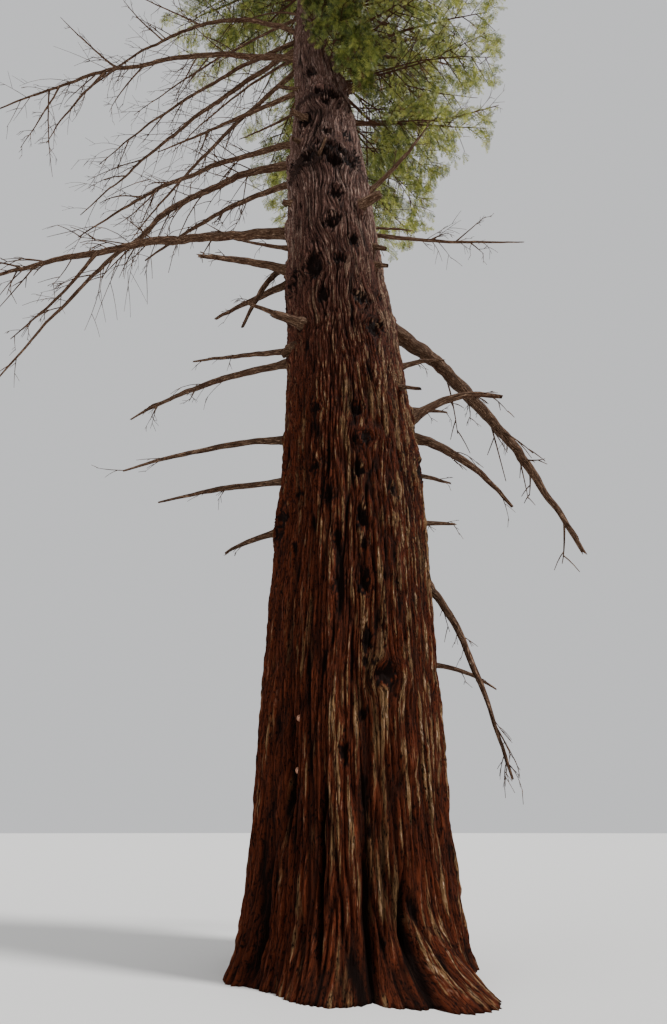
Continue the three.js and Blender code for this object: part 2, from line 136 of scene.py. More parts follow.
RIGHT_LIMBS = [
    (4.75, 12, 2.22, -38, -78, 0.096, 0.026, 0), (7.45, 6, 2.9, -10, -50, 0.14, 0.04, 4),
    (7.69, -8, 2.75, 38, -24, 0.126, 0.05, 0), (10.1, 8, 4.27, -33, -66, 0.24, 0.06, 3),
    (13.1, 6, 4.54, -2, 11, 0.074, 0.02, 0), (14.0, -22, 2.48, 34, 57, 0.11, 0.03, 0),
    (19.28, 0, 1.62, 20, 40, 0.26, 0.12, 0),
]
# Limbs too slight for solids of their own, in the same terms
SLIGHT_STUBS = [
    (3.5, 20, 2.4, 6, -29, 0.05, 0.014, 0), (5.78, 10, 1.8, 4, 4, 0.05, 0.02, 0),
    (6.82, 18, 1.95, 7, -11, 0.06, 0.02, 0), (8.19, 12, 2.0, 9, 0, 0.07, 0.02, 0),
    (9.03, 0, 1.95, 26, -5, 0.07, 0.02, 0), (10.04, 195, 1.96, 15, 8, 0.07, 0.03, 0),
    (12.39, 185, 2.12, 5, 10, 0.06, 0.02, 0), (13.51, 12, 2.0, 16, 6, 0.06, 0.02, 0),
    (17.69, 5, 5.0, 5, 36, 0.09, 0.02, 0), (18.48, 165, 2.38, -25, -8, 0.07, 0.02, 0),
    (21.5, 8, 5.0, 20, -3, 0.08, 0.02, 0), (22.32, 12, 5.0, 28, 38, 0.08, 0.02, 0),
    (21.82, 148, 5.88, 25, -23, 0.08, 0.018, 0), (22.27, 150, 5.96, 14, -4, 0.07, 0.018, 0),
    (23.95, 180, 2.15, 27, -50, 0.06, 0.02, 0), (24.09, 158, 6.7, 10, -26, 0.08, 0.018, 0),
]


def limbs_named(stem, rows):
    """Limbs with a name of stem and number."""
    return [Limb(f"{stem}_{number:02}", *row) for number, row in enumerate(rows, 1)]


BARE_LIMBS = limbs_named("limb_left", LEFT_LIMBS) + limbs_named("limb_right", RIGHT_LIMBS)
SLIGHT_LIMBS = limbs_named("stub", SLIGHT_STUBS)
# Forks traced on the left limbs: limb, share of the way along it, azimuth, length, slope in degrees
# at the start and at the tip, diameter
FORKS = [Fork(f"limb_left_{number:02}", *row) for number, *row in (
    (16, 0.51, 198, 2.3, 14, 4, 0.05), (16, 0.69, 205, 1.9, 26, 56, 0.045),
    (15, 0.63, 205, 2.2, 27, 42, 0.055), (15, 0.67, 165, 3.4, -58, -84, 0.06),
    (15, 0.81, 158, 2.8, -86, -74, 0.045), (15, 0.84, 100, 2.3, -60, -18, 0.04),
    (15, 0.53, 155, 2.3, -36, -86, 0.045), (12, 0.63, 155, 1.7, -52, -4, 0.04),
    (9, 0.64, 155, 2.8, -56, -24, 0.07), (11, 0.18, 120, 1.8, -82, -84, 0.03),
)]
# Limbs at least this long carry seeded forks too, and so many each
FORKED_FROM = 3.0
SEEDED_FORKS = 3
FORK_TAPER = 0.25
# Broken stubs on the trunk: height, azimuth of the root, azimuth that it points to, length, slope
# in degrees, diameter
BROKEN_STUBS = [Stub(*row) for row in (
    (16.34, -124, -150, 0.42, -8, 0.15), (18.34, -144, -164, 0.7, -20, 0.1),
    (12.8, -52, -24, 0.5, 12, 0.2), (13.38, -152, -172, 0.2, 10, 0.14),
    (11.62, -40, -20, 0.3, -36, 0.11), (11.02, -42, -22, 0.26, -30, 0.1),
    (9.0, -158, -185, 0.16, -30, 0.17), (7.96, -34, -34, 0.4, -30, 0.07),
    (15.38, -132, -132, 0.3, -38, 0.11), (19.84, -24, -24, 0.4, 0, 0.1),
    (17.2, 40, 52, 0.5, 10, 0.14), (13.9, 88, 80, 0.45, -12, 0.13), (15.6, 126, 140, 0.6, 5, 0.12),
    (9.32, -134, -158, 0.6, 4, 0.17), (14.5, -100, -60, 0.34, 30, 0.07),
    (19.1, 96, 104, 0.5, 14, 0.1), (10.9, 62, 70, 0.35, -5, 0.12), (20.6, 60, 48, 0.4, 20, 0.09),
)]
STUB_TAPER = 0.72
# Share of its twigs that a bare limb still has: heights, shares
TWIG_SHARE = ((9.0, 14.0), (0.45, 1.0))
# A limb's diameter falls as this power of the way along it, swells at the trunk by a share that
# fades over a share of its length, and starts so far in as a share of the trunk's radius
LATE_TAPER = 1.7
COLLAR_SWELL = 0.4
COLLAR_LENGTH = 0.07
ROOT_DEPTH = 0.5
# Thickness that old bark adds to the limbs up to one height, and none above the other
OLD_BARK = 0.035
OLD_BARK_FADE = (12.0, 13.5)

# Knots seen on the front: height, azimuth, half width, half height, depth of the pit
FRONT_KNOTS = [
    (17.5, -96, 0.17, 0.24, 0.2), (17.25, -74, 0.2, 0.22, 0.22), (16.95, -88, 0.12, 0.17, 0.15),
    (18.75, -111, 0.14, 0.24, 0.14), (16.2, -122, 0.15, 0.26, 0.14), (15.4, -90, 0.1, 0.17, 0.12),
    (14.9, -104, 0.1, 0.16, 0.12), (14.45, -97, 0.13, 0.17, 0.15), (14.15, -84, 0.17, 0.16, 0.18),
    (14.6, -74, 0.09, 0.2, 0.12), (14.8, -45, 0.11, 0.26, 0.13), (13.0, -85, 0.14, 0.22, 0.2),
    (12.05, -93, 0.16, 0.23, 0.18), (11.5, -70, 0.09, 0.2, 0.13), (10.7, -118, 0.2, 0.29, 0.2),
    (10.85, -89, 0.12, 0.15, 0.14), (9.9, -109, 0.1, 0.17, 0.13), (9.75, -71, 0.14, 0.16, 0.16),
    (10.1, -45, 0.07, 0.12, 0.08), (9.05, -63, 0.14, 0.18, 0.14), (9.3, -137, 0.1, 0.1, 0.1),
    (7.25, -120, 0.09, 0.1, 0.07), (7.15, -85, 0.09, 0.15, 0.09), (6.58, -80, 0.12, 0.11, 0.09),
    (6.55, -89, 0.04, 0.09, 0.05), (6.1, -119, 0.08, 0.1, 0.06), (6.0, -86, 0.075, 0.14, 0.09),
    (5.75, -136, 0.06, 0.1, 0.05), (5.6, -108, 0.065, 0.15, 0.06), (5.7, -61, 0.07, 0.09, 0.05),
    (5.2, -84, 0.08, 0.21, 0.1), (4.85, -101, 0.06, 0.16, 0.08), (4.76, -83, 0.045, 0.12, 0.06),
    (4.85, -136, 0.05, 0.11, 0.05), (4.22, -83, 0.085, 0.2, 0.1), (4.15, -100, 0.06, 0.14, 0.05),
    (3.43, -81, 0.065, 0.15, 0.07), (3.16, -82, 0.035, 0.07, 0.04), (3.0, -70, 0.13, 0.13, 0.1),
    (2.55, -84, 0.05, 0.07, 0.05), (2.12, -95, 0.055, 0.12, 0.06), (1.71, -84, 0.045, 0.13, 0.05),
    (1.33, -81, 0.035, 0.06, 0.03), (14.5, -118, 0.16, 0.2, 0.12), (14.3, -64, 0.17, 0.24, 0.13),
    (14.75, -86, 0.15, 0.2, 0.12), (15.55, -60, 0.08, 0.15, 0.09), (9.25, -51, 0.1, 0.13, 0.1),
]
# Ragged bands across the front where many shoots once broke out, darkened by painted shadow:
# height, half height
WHORLS = [(14.4, 0.36), (17.35, 0.26)]
WHORL_WANDER = 0.3
# A knot's rim as a share of its half width, and what it is up to a small half width
RIM_SHARE = 0.22
SMALL_RIM_SHARE = 0.06
SMALL_KNOT = 0.1
# Seeded knots on the sides and the back: number, heights, azimuths, half width as a share of the
# bole's radius, half height and depth as shares of the half width
BACK_KNOTS = 46
BACK_KNOT_HEIGHTS = (3.5, 24)
BACK_KNOT_AZIMUTHS = (-28, 214)
BACK_KNOT_WIDTHS = (0.05, 0.16)
BACK_KNOT_HEIGHT_SHARES = (1.1, 1.7)
BACK_KNOT_DEPTHS = (0.6, 1.2)
# Side of the trunk that the key light falls on, whose crests are painted paler as painted
# highlight: azimuth and half width in degrees
LIT_SIDE = (-36, 28)
# Side away from the light, whose crests are painted less pale as painted shade, so that it stays
# fresh and red, in the same terms
SHADED_SIDE = (-142, 34)

# Deep clefts in the foot: azimuth at the top and at the foot, height of the top and of the foot,
# half width, depth
CLEFTS = [
    (-131, -129, 3.1, 1.35, 0.055, 0.13), (-143, -141, 1.5, 0.1, 0.07, 0.14),
    (-106, -105, 2.2, 0.3, 0.032, 0.12), (-84, -84, 1.5, 0.0, 0.06, 0.15),
    (-65, -68, 1.1, 0.0, 0.06, 0.16), (-30, -28, 1.9, 0.0, 0.05, 0.13),
    (22, 24, 2.0, 0.0, 0.055, 0.14), (68, 68, 2.4, 0.1, 0.05, 0.13),
    (113, 111, 1.9, 0.0, 0.06, 0.15), (156, 155, 2.2, 0.0, 0.05, 0.13),
]

# Small pale scars of cut shoots on the front: height, azimuth, radius
SHOOT_SCARS = [(2.53, -123, 0.036), (1.96, -123, 0.034)]

# Crown. A shelf is the curved sheet that boughs of one height lie in: it leaves the trunk at that
# height, slopes with it and sags with the square of the distance out
CROWN_BASE = 16.4
SHELF_SLOPE_LOW = -0.06
SHELF_SLOPE_GAIN = 0.025
SHELF_SAG = 0.014

# Crown's reach from the trunk's axis, by shelf: height, reach
CROWN_REACH = np.array([
    [16.4, 3.9], [19, 5.0], [23, 5.9], [26, 5.8], [29, 5.1], [33, 3.8], [36.5, 2.4],
    [38.5, 1.35], [40, 0.5],
])

# Tiers of foliage from the bottom up: name, shelf heights of the tier's floor and ceiling, azimuth
# of its first mass, degrees that each mass takes, masses, share of the way out that is bare bough
TIERS = [
    ("base", 16.4, 19.3, 2, 62, 2, 0.36), ("low", 19.3, 22.2, -18, 60, 3, 0.34),
    ("open", 22.2, 25.0, -26, 56, 3, 0.3), ("middle", 25.0, 28.3, 20, 72, 5, 0),
    ("high", 28.3, 31.6, 56, 72, 5, 0), ("upper", 31.6, 34.7, 10, 90, 4, 0),
    ("peak", 34.7, 37.5, 50, 120, 3, 0),
]
TOP_SPACE = {"tier": "top", "name": "top", "floor": 37.4, "ceiling": 40.3, "azimuth": 0,
             "width": 360, "bough": 0}
# Short boughs round the trunk's tip, and short sprays up the leading shoot
LEADER_BOUGHS = 20
LEADER_SPRAYS = 110
LEADER_TIP = 39.97
GOLDEN_TURN = 137.5
# Leafy shoots that break from the bark of the front: their space, number and length
SHOOT_SPACE = {"tier": "shoots", "name": "shoots", "floor": 17.6, "ceiling": 23.6, "azimuth": -62,
               "width": 88, "bough": 0}
SHOOTS = 32
SHOOT_REACH = (0.6, 1.2)
# Masses above this height keep more of their twigs, by this much of the noise that thins them
SEEN_FROM_BELOW = 24.0
DENSER = 0.14
# Distance between the branches of a bough and of a shoot, twigs on each, sprays on each of those
# and a spray's length
BRANCH_GAP = 0.17
SHOOT_BRANCH_GAP = 0.11
TWIGS_PER_BRANCH = 7
SPRAYS_PER_TWIG = 8
SPRAY_LENGTH = 0.21
# Diameter of a bough as a share of its reach, and its reach as a share of its mass's
BOUGH_GIRTH = 0.024
STEM_END = 0.97
# Room that foliage keeps: below its lowest shelf, off the bark and off the bare limbs
HANGING_ROOM = 0.3
BARK_MARGIN = 0.09
LIMB_MARGIN = 0.09
LIMB_CHECKS = 40

# Trunk meshes: name, height of the foot and of the top, columns, rows
TRUNK_PIECES = [
    ("trunk_foot", 0.0, 4.8, 720, 132), ("trunk_low", 4.8, 10.6, 720, 130),
    ("trunk_bole", 10.6, 17.0, 720, 126), ("trunk_top", 17.0, TRUNK_TOP, 360, 262),
]
# Rows that tuck each mesh in under its neighbour: distance past the seam and depth under the bark
TUCK = np.array([[0.03, 0.0015], [0.07, 0.01], [0.12, 0.06]])

# Camera: place, degrees that it looks up, focal length and sight. The photograph is upright, 667
# by 1024, and its lens covers 84 degrees of its height
CAMERA_PLACE = (-0.2, -8.087, 1.36)
CAMERA_PITCH = 29.2
CAMERA_LENS = 20.04
CAMERA_SIGHT = 1000.0
FLOOR_RADIUS = 400.0
FLOOR_SIDES = 64
# Suns: name, azimuth and height that the light comes from, strength, spread in degrees
LIGHTS = [("key", -26, 48, 3.9, 9), ("fill", 205, 30, 0.5, 50)]
SKY_COLOUR = (0.97, 0.98, 1.0)
SKY_STRENGTH = 0.76


def metres(name, description, default):
    """Length property in metres."""
    return bpy.props.FloatProperty(
        name=name, description=description, default=default, unit="LENGTH")


class RedwoodSizes(bpy.types.PropertyGroup):
    """Sizes of the bark's relief, the twigs and the sprays."""

    rib_width: metres("Rib Width", "Distance between the main furrows of the bark", 0.07)
    furrow_depth: metres("Furrow Depth", "Depth of the main furrows at the trunk's foot", 0.037)
    fibre_depth: metres("Fibre Depth", "Height of the fine fibres on the bark", 0.028)
    spray_length: metres("Spray Length", "Length of one needle spray", SPRAY_LENGTH)
    dead_twig_gap: metres("Dead Twig Gap", "Distance between the twigs on a dead limb", 0.34)
    boughs_per_mass: bpy.props.IntProperty(
        name="Boughs per Mass", description="Boughs that carry one mass of foliage", default=6)


def tint(name, description, colour):
    """Colour property in linear red, green and blue."""
    return bpy.props.FloatVectorProperty(
        name=name, description=description, default=colour, size=3, subtype="COLOR", min=0, max=1)


class RedwoodColours(bpy.types.PropertyGroup):
    """Colours of bark, dead wood, needles and floor."""

    # Dark of the fibres and cracks, and of the painted shade in the furrows, clefts, knot pits and
    # whorls
    bark_dark_and_shade: tint("Bark Furrow", "Bark deep in the furrows", (0.0055, 0.002, 0.0012))
    bark_red: tint("Bark Red", "Fresh red-brown bark", (0.112, 0.0235, 0.008))
    bark_tan: tint("Bark Tan", "Weathered tan strips of bark", (0.2, 0.108, 0.047))
    # Colour of the painted highlights on the trunk's crests and on the dead limbs
    bark_highlight: tint("Bark Pale", "Bleached crests of the ribs", (0.6, 0.405, 0.275))
    bark_grey: tint("Bark Grey", "Grey weathered faces high on the trunk", (0.42, 0.275, 0.23))
    dead_dark: tint("Dead Wood Dark", "Cracks and undersides of dead limbs", (0.02, 0.009, 0.005))
    # Worn faces of the dead limbs, and the painted highlights on the live boughs and twigs
    dead_worn_and_bough_highlight: tint("Dead Wood Pale", "Weathered faces of dead limbs", (0.1, 0.055, 0.033))
    dead_red: tint("Dead Wood Red", "Bark left on the dead limbs", (0.068, 0.028, 0.015))
    bough_dark: tint("Bough Dark", "Cracks in the live boughs' bark", (0.022, 0.011, 0.007))
    bough_pale: tint("Bough Pale", "Faces of the live boughs' bark", (0.08, 0.046, 0.029))
    scar_wood: tint("Scar Wood", "Bare wood of the cut shoots", (0.5, 0.26, 0.17))
    # Sprays far out in the crown take the lighter tones, partly as fresh growth and partly as
    # painted light, and those inside the darker tones as painted shade
    needle_deep: tint("Needles Deep", "Shaded needles in the crown", (0.045, 0.062, 0.014))
    needle_green: tint("Needles Green", "Main green of the needles", (0.165, 0.2, 0.04))
    needle_olive: tint("Needles Olive", "Olive sprays", (0.33, 0.335, 0.07))
    needle_fresh: tint("Needles Fresh", "Fresh tips in the light", (0.56, 0.57, 0.13))
    needle_brown: tint("Needles Brown", "Withered sprays", (0.15, 0.075, 0.03))
    floor: tint("Floor", "Pale studio floor", (0.72, 0.71, 0.69))


def sizes():
    """The scene's sizes."""
    return bpy.context.scene.redwood_sizes


def colours():
    """The scene's colours."""
    return bpy.context.scene.redwood_colours


# Shape of the tree


def along(table, column, height):
    """Smooth curve through a table's rows: cubic between two rows, with the slope at each row that
    of the straight line between its neighbours."""
    rows, values = table[:, 0], table[:, column]
    last = len(rows) - 1
    before = np.maximum(np.arange(last + 1) - 1, 0)
    after = np.minimum(np.arange(last + 1) + 1, last)
    slopes = (values[after] - values[before]) / (rows[after] - rows[before])
    at = np.clip(height, rows[0], rows[-1])
    i = np.clip(np.searchsorted(rows, at, side="right") - 1, 0, last - 1)
    step = rows[i + 1] - rows[i]
    t = (at - rows[i]) / step
    level = values[i] * (2 * t**3 - 3 * t**2 + 1) + values[i + 1] * (3 * t**2 - 2 * t**3)
    return level + step * (slopes[i] * (t**3 - 2 * t**2 + t) + slopes[i + 1] * (t**3 - t**2))


def bole_at(height):
    """Radius of the smooth bole."""
    return along(TRUNK_STATIONS, 1, height) / 2


def lean_at(height):
    """Place of the trunk's axis along X."""
    return along(TRUNK_STATIONS, 2, height)


def bell(value, width):
    """Bell curve: 1 at nought, and exp(-(value / width)^2) away from it."""
    ratio = value / width
    return np.exp(-ratio * ratio)


def smooth_step(value, low, high):
    """Goes from 0 at low to 1 at high as 3t^2 - 2t^3, whichever of the two is the higher."""
    t = np.clip((value - low) / (high - low), 0, 1)
    return t * t * (3 - 2 * t)


def turn_between(start, end):
    """Angle from one heading to another, between minus and plus half a turn."""
    return np.arctan2(np.sin(end - start), np.cos(end - start))


def facing(angle, azimuth, half_width):
    """Bell curve round an azimuth, with its half width in degrees."""
    return bell(turn_between(math.radians(azimuth), angle), math.radians(half_width))


def trunk_radius(height, angle):
    """Distance of the bark from the axis: the bole's radius, a wave of seven flutes that fades and
    twists with height, and for each buttress a bell curve round its azimuth that dies away as a
    power of the height."""
    wave = np.cos(FLUTES * (angle + FLUTE_TWIST * height))
    flute = FLUTE_DEPTH * np.exp(-height / FLUTE_FADE) * wave
    flare = 0.0
    for azimuth, spread, half_width, top in BUTTRESSES:
        fall = np.clip(1 - height / top, 0, 1) ** FLARE_CURVE
        flare = flare + spread * fall * facing(angle, azimuth, half_width)
    return bole_at(height) * (1 + flute) + flare


def trunk_point(height, radius, angle):
    """Point at a height, a distance from the trunk's axis and a heading."""
    return np.stack([lean_at(height) + radius * np.cos(angle), radius * np.sin(angle), height], -1)


def limb_route(limb, share):
    """Points of a bare limb at shares of its way out from the bark: the slope's tangent turns
    evenly from rise to tip, and the heading swings with the square of the share. Shares below 0 run
    straight in under the bark."""
    root = trunk_radius(limb.height, math.radians(limb.azimuth))
    span = limb.reach - root
    out = np.maximum(share, 0)
    steep = math.tan(math.radians(limb.rise))
    turn = math.tan(math.radians(limb.tip_rise)) - steep
    radius = root + span * share
    angle = np.radians(limb.azimuth + limb.swing * out**2)
    level = limb.height + span * (steep * share + turn * out**2 / 2)
    axis = lean_at(limb.height)
    return np.stack([axis + radius * np.cos(angle), radius * np.sin(angle), level], -1)


def limb_length(limb):
    """Length of a bare limb from the bark to its tip."""
    steps = limb_route(limb, np.linspace(0, 1, LIMB_CHECKS))
    return np.linalg.norm(np.diff(steps, axis=0), axis=1).sum()


def reach_at(shelf):
    """Crown's reach at a shelf."""
    return float(along(CROWN_REACH, 1, np.array(shelf)))


def shelf_point(shelf, radius, angle):
    """Point of a shelf at a distance from the trunk's axis and a heading: the shelf's height, plus
    its slope times the distance, less its sag times the distance squared."""
    slope = SHELF_SLOPE_LOW + SHELF_SLOPE_GAIN * (shelf - CROWN_BASE)
    return trunk_point(shelf + slope * radius - SHELF_SAG * radius * radius, radius, angle)


def crown_place(points):
    """Shelf, distance from the trunk's axis and heading of points: shelf_point turned round."""
    x = points[..., 0] - lean_at(points[..., 2])
    radius = np.hypot(x, points[..., 1])
    lift = SHELF_SLOPE_LOW - SHELF_SLOPE_GAIN * CROWN_BASE
    level = points[..., 2] + SHELF_SAG * radius * radius
    shelf = (level - radius * lift) / (1 + radius * SHELF_SLOPE_GAIN)
    return shelf, radius, np.arctan2(points[..., 1], x)


# Noise


CORNERS = np.array([[i, j, k] for i in (0, 1) for j in (0, 1) for k in (0, 1)])
HASH_STEPS = (374761393, 668265263, 2246822519, 3266489917)
HASH_MIX = 1274126177
WORD = 0xFFFFFFFF
NOISE_GAIN = 1.6


def hashed(cells, seed):
    """Random number from -1 to 1 for each whole-number cell: a 32-bit mix of its three indices."""
    x, y, z = (cells[..., k].astype(np.int64) for k in range(3))
    mix = (x * HASH_STEPS[0] + y * HASH_STEPS[1] + z * HASH_STEPS[2] + seed * HASH_STEPS[3]) & WORD
    mix = ((mix ^ (mix >> 13)) * HASH_MIX) & WORD
    mix = mix ^ (mix >> 16)
    return mix / (WORD / 2) - 1


def noise(points, seed):
    """Gradient noise between about -1 and 1: each corner of the cell round a point has a random
    slope, and what the eight slopes say at the point is blended by 6t^5 - 15t^4 + 10t^3."""
    cell = np.floor(points)
    inside = points - cell
    fade = inside**3 * (inside * (inside * 6 - 15) + 10)
    total = np.zeros(points.shape[:-1])
    for corner in CORNERS:
        off = inside - corner
        weight = np.prod(np.where(corner == 1, fade, 1 - fade), axis=-1)
        said = sum(hashed(cell + corner, 3 * seed + k) * off[..., k] for k in range(3))
        total += weight * said
    return NOISE_GAIN * total


def noises(points, seeds):
    """One noise for each seed, side by side."""
    return np.stack([noise(points, seed) for seed in seeds], -1)


def draws(kind, number=0):
    """The stream of random numbers of one kind of piece and one piece of that kind."""
    return np.random.default_rng(DRAWS[kind] + number)


# Meshes


# Length under which a vector counts as none, and the lean under which a path counts as upright
TINY = 1e-9
UPRIGHT = 1e-6
# How far the grain of each tube of an array is moved on along itself from the last
GRAIN_STEP = 0.73


class Shape:
    """Points, faces in groups of one corner count, and named values carried at the points. A face
    may have a tone, the number of its material, and be flat, left out of smooth shading."""

    def __init__(self, points, faces, values=None, tones=None, flat=None):
        self.points = points
        self.faces = faces
        self.values = values or {}
        self.tones = tones
        self.flat = flat

    @staticmethod
    def joined(shapes):
        """One shape of many, with the points of each numbered on from the last."""
        shapes = [s for s in shapes if len(s.points)]
        starts = np.cumsum([0] + [len(s.points) for s in shapes])
        groups = {}
        for shape, start in zip(shapes, starts):
            for group in shape.faces:
                groups.setdefault(group.shape[1], []).append(group + start)
        values = {
            key: np.concatenate([s.values[key] for s in shapes]) for key in shapes[0].values}
        points = np.concatenate([s.points for s in shapes])
        return Shape(points, [np.concatenate(g) for g in groups.values()], values)


def make_piece(name, shape, materials, nodes):
    """Puts a shape's arrays into a mesh object that rides on the root and stands for CAD nodes."""
    if not len(shape.points):
        raise RuntimeError(f"{name} came out with no points")
    mesh = bpy.data.meshes.new(name)
    corners = np.concatenate([group.ravel() for group in shape.faces]).astype(np.int32)
    totals = np.concatenate([np.full(len(g), g.shape[1]) for g in shape.faces]).astype(np.int32)
    starts = np.concatenate([[0], np.cumsum(totals)[:-1]]).astype(np.int32)
    mesh.vertices.add(len(shape.points))
    mesh.vertices.foreach_set("co", shape.points.astype(np.float32).ravel())
    mesh.loops.add(len(corners))
    mesh.loops.foreach_set("vertex_index", corners)
    mesh.polygons.add(len(totals))
    mesh.polygons.foreach_set("loop_start", starts)
    mesh.polygons.foreach_set("loop_total", totals)
    for key, value in shape.values.items():
        kind, field = ("FLOAT_VECTOR", "vector") if value.ndim == 2 else ("FLOAT", "value")
        layer = mesh.attributes.new(key, kind, "POINT")
        layer.data.foreach_set(field, value.astype(np.float32).ravel())
    for material in materials:
        mesh.materials.append(material)
    if shape.tones is not None:
        mesh.polygons.foreach_set("material_index", shape.tones.astype(np.int32))
    mesh.update(calc_edges=True)
    mesh.shade_smooth()
    if shape.flat is not None:
        layer = mesh.attributes.new("sharp_face", "BOOLEAN", "FACE")
        layer.data.foreach_set("value", shape.flat)
    piece = bpy.data.objects.new(name, mesh)
    bpy.context.scene.collection.objects.link(piece)
    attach(piece, "root")
    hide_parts(*nodes)


def ring_faces(index):
    """Quads between neighbouring rings of an array of point numbers: tube, ring, side."""
    low, high = index[:, :-1], index[:, 1:]
    quads = np.stack([low, np.roll(low, -1, 2), np.roll(high, -1, 2), high], -1)
    return quads.reshape(-1, 4)


def unit(vectors):
    """Vectors cut or stretched to a length of 1."""
    return vectors / np.maximum(np.linalg.norm(vectors, axis=-1, keepdims=True), TINY)


def round_turn(sides):
    """Angles of a ring's points."""
    return np.arange(sides) / sides * TURN


def tubes(paths, radii, sides):
    """Closed tubes along an array of paths: tube, ring, xyz. Each ring is a circle round its point,
    square to the path, of the radius given for the ring or for each of its points. The value grain
    holds each point's place on a straightened tube, with the way along it as z."""
    heading = unit(np.gradient(paths, axis=1))
    flat = np.stack([heading[..., 1], -heading[..., 0], np.zeros(heading.shape[:2])], -1)
    flat[np.linalg.norm(flat, axis=-1) < UPRIGHT] = (1, 0, 0)
    side = unit(flat)[:, :, None]
    up = np.cross(side, heading[:, :, None])
    turn = round_turn(sides)
    cos, sin = np.cos(turn)[:, None], np.sin(turn)[:, None]
    radii = np.broadcast_to(radii, (*paths.shape[:2], sides))[..., None]
    points = paths[:, :, None] - radii * cos * side + radii * sin * up
    steps = np.linalg.norm(np.diff(paths, axis=1), axis=-1)
    way = np.concatenate([np.zeros((len(paths), 1)), np.cumsum(steps, 1)], 1)
    way = way + GRAIN_STEP * np.arange(len(paths))[:, None]
    grain = np.stack(np.broadcast_arrays(
        radii[..., 0] * np.cos(turn), radii[..., 0] * np.sin(turn), way[..., None]), -1)
    index = np.arange(points[..., 0].size).reshape(points.shape[:3])
    ends = np.concatenate([index[:, 0, ::-1], index[:, -1]])
    return Shape(points.reshape(-1, 3), [ring_faces(index), ends], {"grain": grain.reshape(-1, 3)})


def curved(start, middle, end, t):
    """Curve from start to end that leans to middle: (1-t)^2 start + 2t(1-t) middle + t^2 end."""
    return (1 - t) ** 2 * start + 2 * t * (1 - t) * middle + t**2 * end


def bent(start, middle, end, rings):
    """Points at even steps of t on many such curves."""
    t = np.linspace(0, 1, rings)[None, :, None]
    return curved(start[:, None], middle[:, None], end[:, None], t)


# Materials


def node_group(name, inputs, outputs):
    """New shader node group with named sockets, and its input and output nodes."""
    group = bpy.data.node_groups.new(name, "ShaderNodeTree")
    for label, kind in inputs:
        group.interface.new_socket(name=label, in_out="INPUT", socket_type=kind)
    for label, kind in outputs:
        group.interface.new_socket(name=label, in_out="OUTPUT", socket_type=kind)
    return group, group.nodes.new("NodeGroupInput"), group.nodes.new("NodeGroupOutput")


class Graph:
    """Short way to place nodes in a tree and link them."""

    def __init__(self, tree):
        self.tree = tree

    def feed(self, socket, value):
        if isinstance(value, bpy.types.NodeSocket):
            self.tree.links.new(value, socket)
        else:
            socket.default_value = value

    def node(self, kind, **inputs):
        made = self.tree.nodes.new(kind)
        for label, value in inputs.items():
            self.feed(made.inputs[label.replace("_", " ")], value)
        return made

    def math(self, operation, first, second=0.0, clamp=False):
        made = self.tree.nodes.new("ShaderNodeMath")
        made.operation = operation
        made.use_clamp = clamp
        self.feed(made.inputs[0], first)
        self.feed(made.inputs[1], second)
        return made.outputs[0]

    def scaled(self, value, share):
        return self.math("MULTIPLY", value, share)

    def mix(self, share, first, second):
        """Colour that goes from the first to the second as the share goes from 0 to 1."""
        made = self.tree.nodes.new("ShaderNodeMix")
        made.data_type = "RGBA"
        self.feed(made.inputs["Factor"], share)
        self.feed(made.inputs[6], first)
        self.feed(made.inputs[7], second)
        return made.outputs[2]

    def squeezed(self, vector, share):
        """Vector with its third part cut to a share, which draws a pattern out along the grain."""
        made = self.tree.nodes.new("ShaderNodeVectorMath")
        made.operation = "MULTIPLY"
        self.feed(made.inputs[0], vector)
        self.feed(made.inputs[1], (1, 1, share))
        return made.outputs[0]

    def noise(self, vector, scale, detail, roughness):
        made = self.node(
            "ShaderNodeTexNoise", Vector=vector, Scale=scale, Detail=detail, Roughness=roughness)
        return made.outputs[0]

    def carried(self, name, output):
        """Value that the mesh carries under a name."""
        made = self.tree.nodes.new("ShaderNodeAttribute")
        made.attribute_name = name
        return made.outputs[output]

    def grouped(self, group):
        made = self.tree.nodes.new("ShaderNodeGroup")
        made.node_tree = group
        return made

    def band(self, value, low, high):
        """Goes from 0 to 1 as the value goes from low to high."""
        made = self.tree.nodes.new("ShaderNodeMapRange")
        made.interpolation_type = "SMOOTHSTEP"
        self.feed(made.inputs["Value"], value)
        self.feed(made.inputs["From Min"], low)
        self.feed(made.inputs["From Max"], high)
        return made.outputs[0]


# Fibres. Noises: share of the grain's length that they keep, scale as a share of the fineness,
# detail, roughness
FIBRE_NOISES = {
    "Strands": (0.07, 1.0, 6, 0.68), "Strips": (0.14, 0.08, 6, 0.72),
    "Crumbs": (0.28, 1.15, 4, 0.6), "Cracks": (0.06, 0.62, 2.5, 0.55),
    "Chips": (0.15, 0.6, 4, 0.7),
}
NOISE_MIDDLE = 0.5
CRACK_EDGES = (0.034, 0.008)

# Weathering: levels of the strips between which the bark looks worn, and what crests add to them
WORN_LEVELS = (0.55, 0.69)
WORN_ON_CRESTS = 0.35
# A fibre value, the levels of it between which an effect sets in, and its strength
# Painted highlights on the crests
HIGHLIGHT_STRANDS = ("Strands", 0.52, 0.66, 1.0)
HIGHLIGHT_CHIPS = ("Chips", 0.54, 0.66, 0.7)
HIGHLIGHT_CRUMBS = ("Crumbs", 0.42, 0.6, 1.0)
HIGHLIGHT_SHARE = 0.95
DARK_STRANDS = ("Strands", 0.53, 0.37, 0.72)
DARK_CHIPS = ("Chips", 0.49, 0.34, 0.76)
DARK_CRUMBS = ("Crumbs", 0.48, 0.36, 0.38)
CRACK_SHARE = 0.82
ROUGHNESS_LEAST = 0.68
ROUGHNESS_BY_STRANDS = 0.25
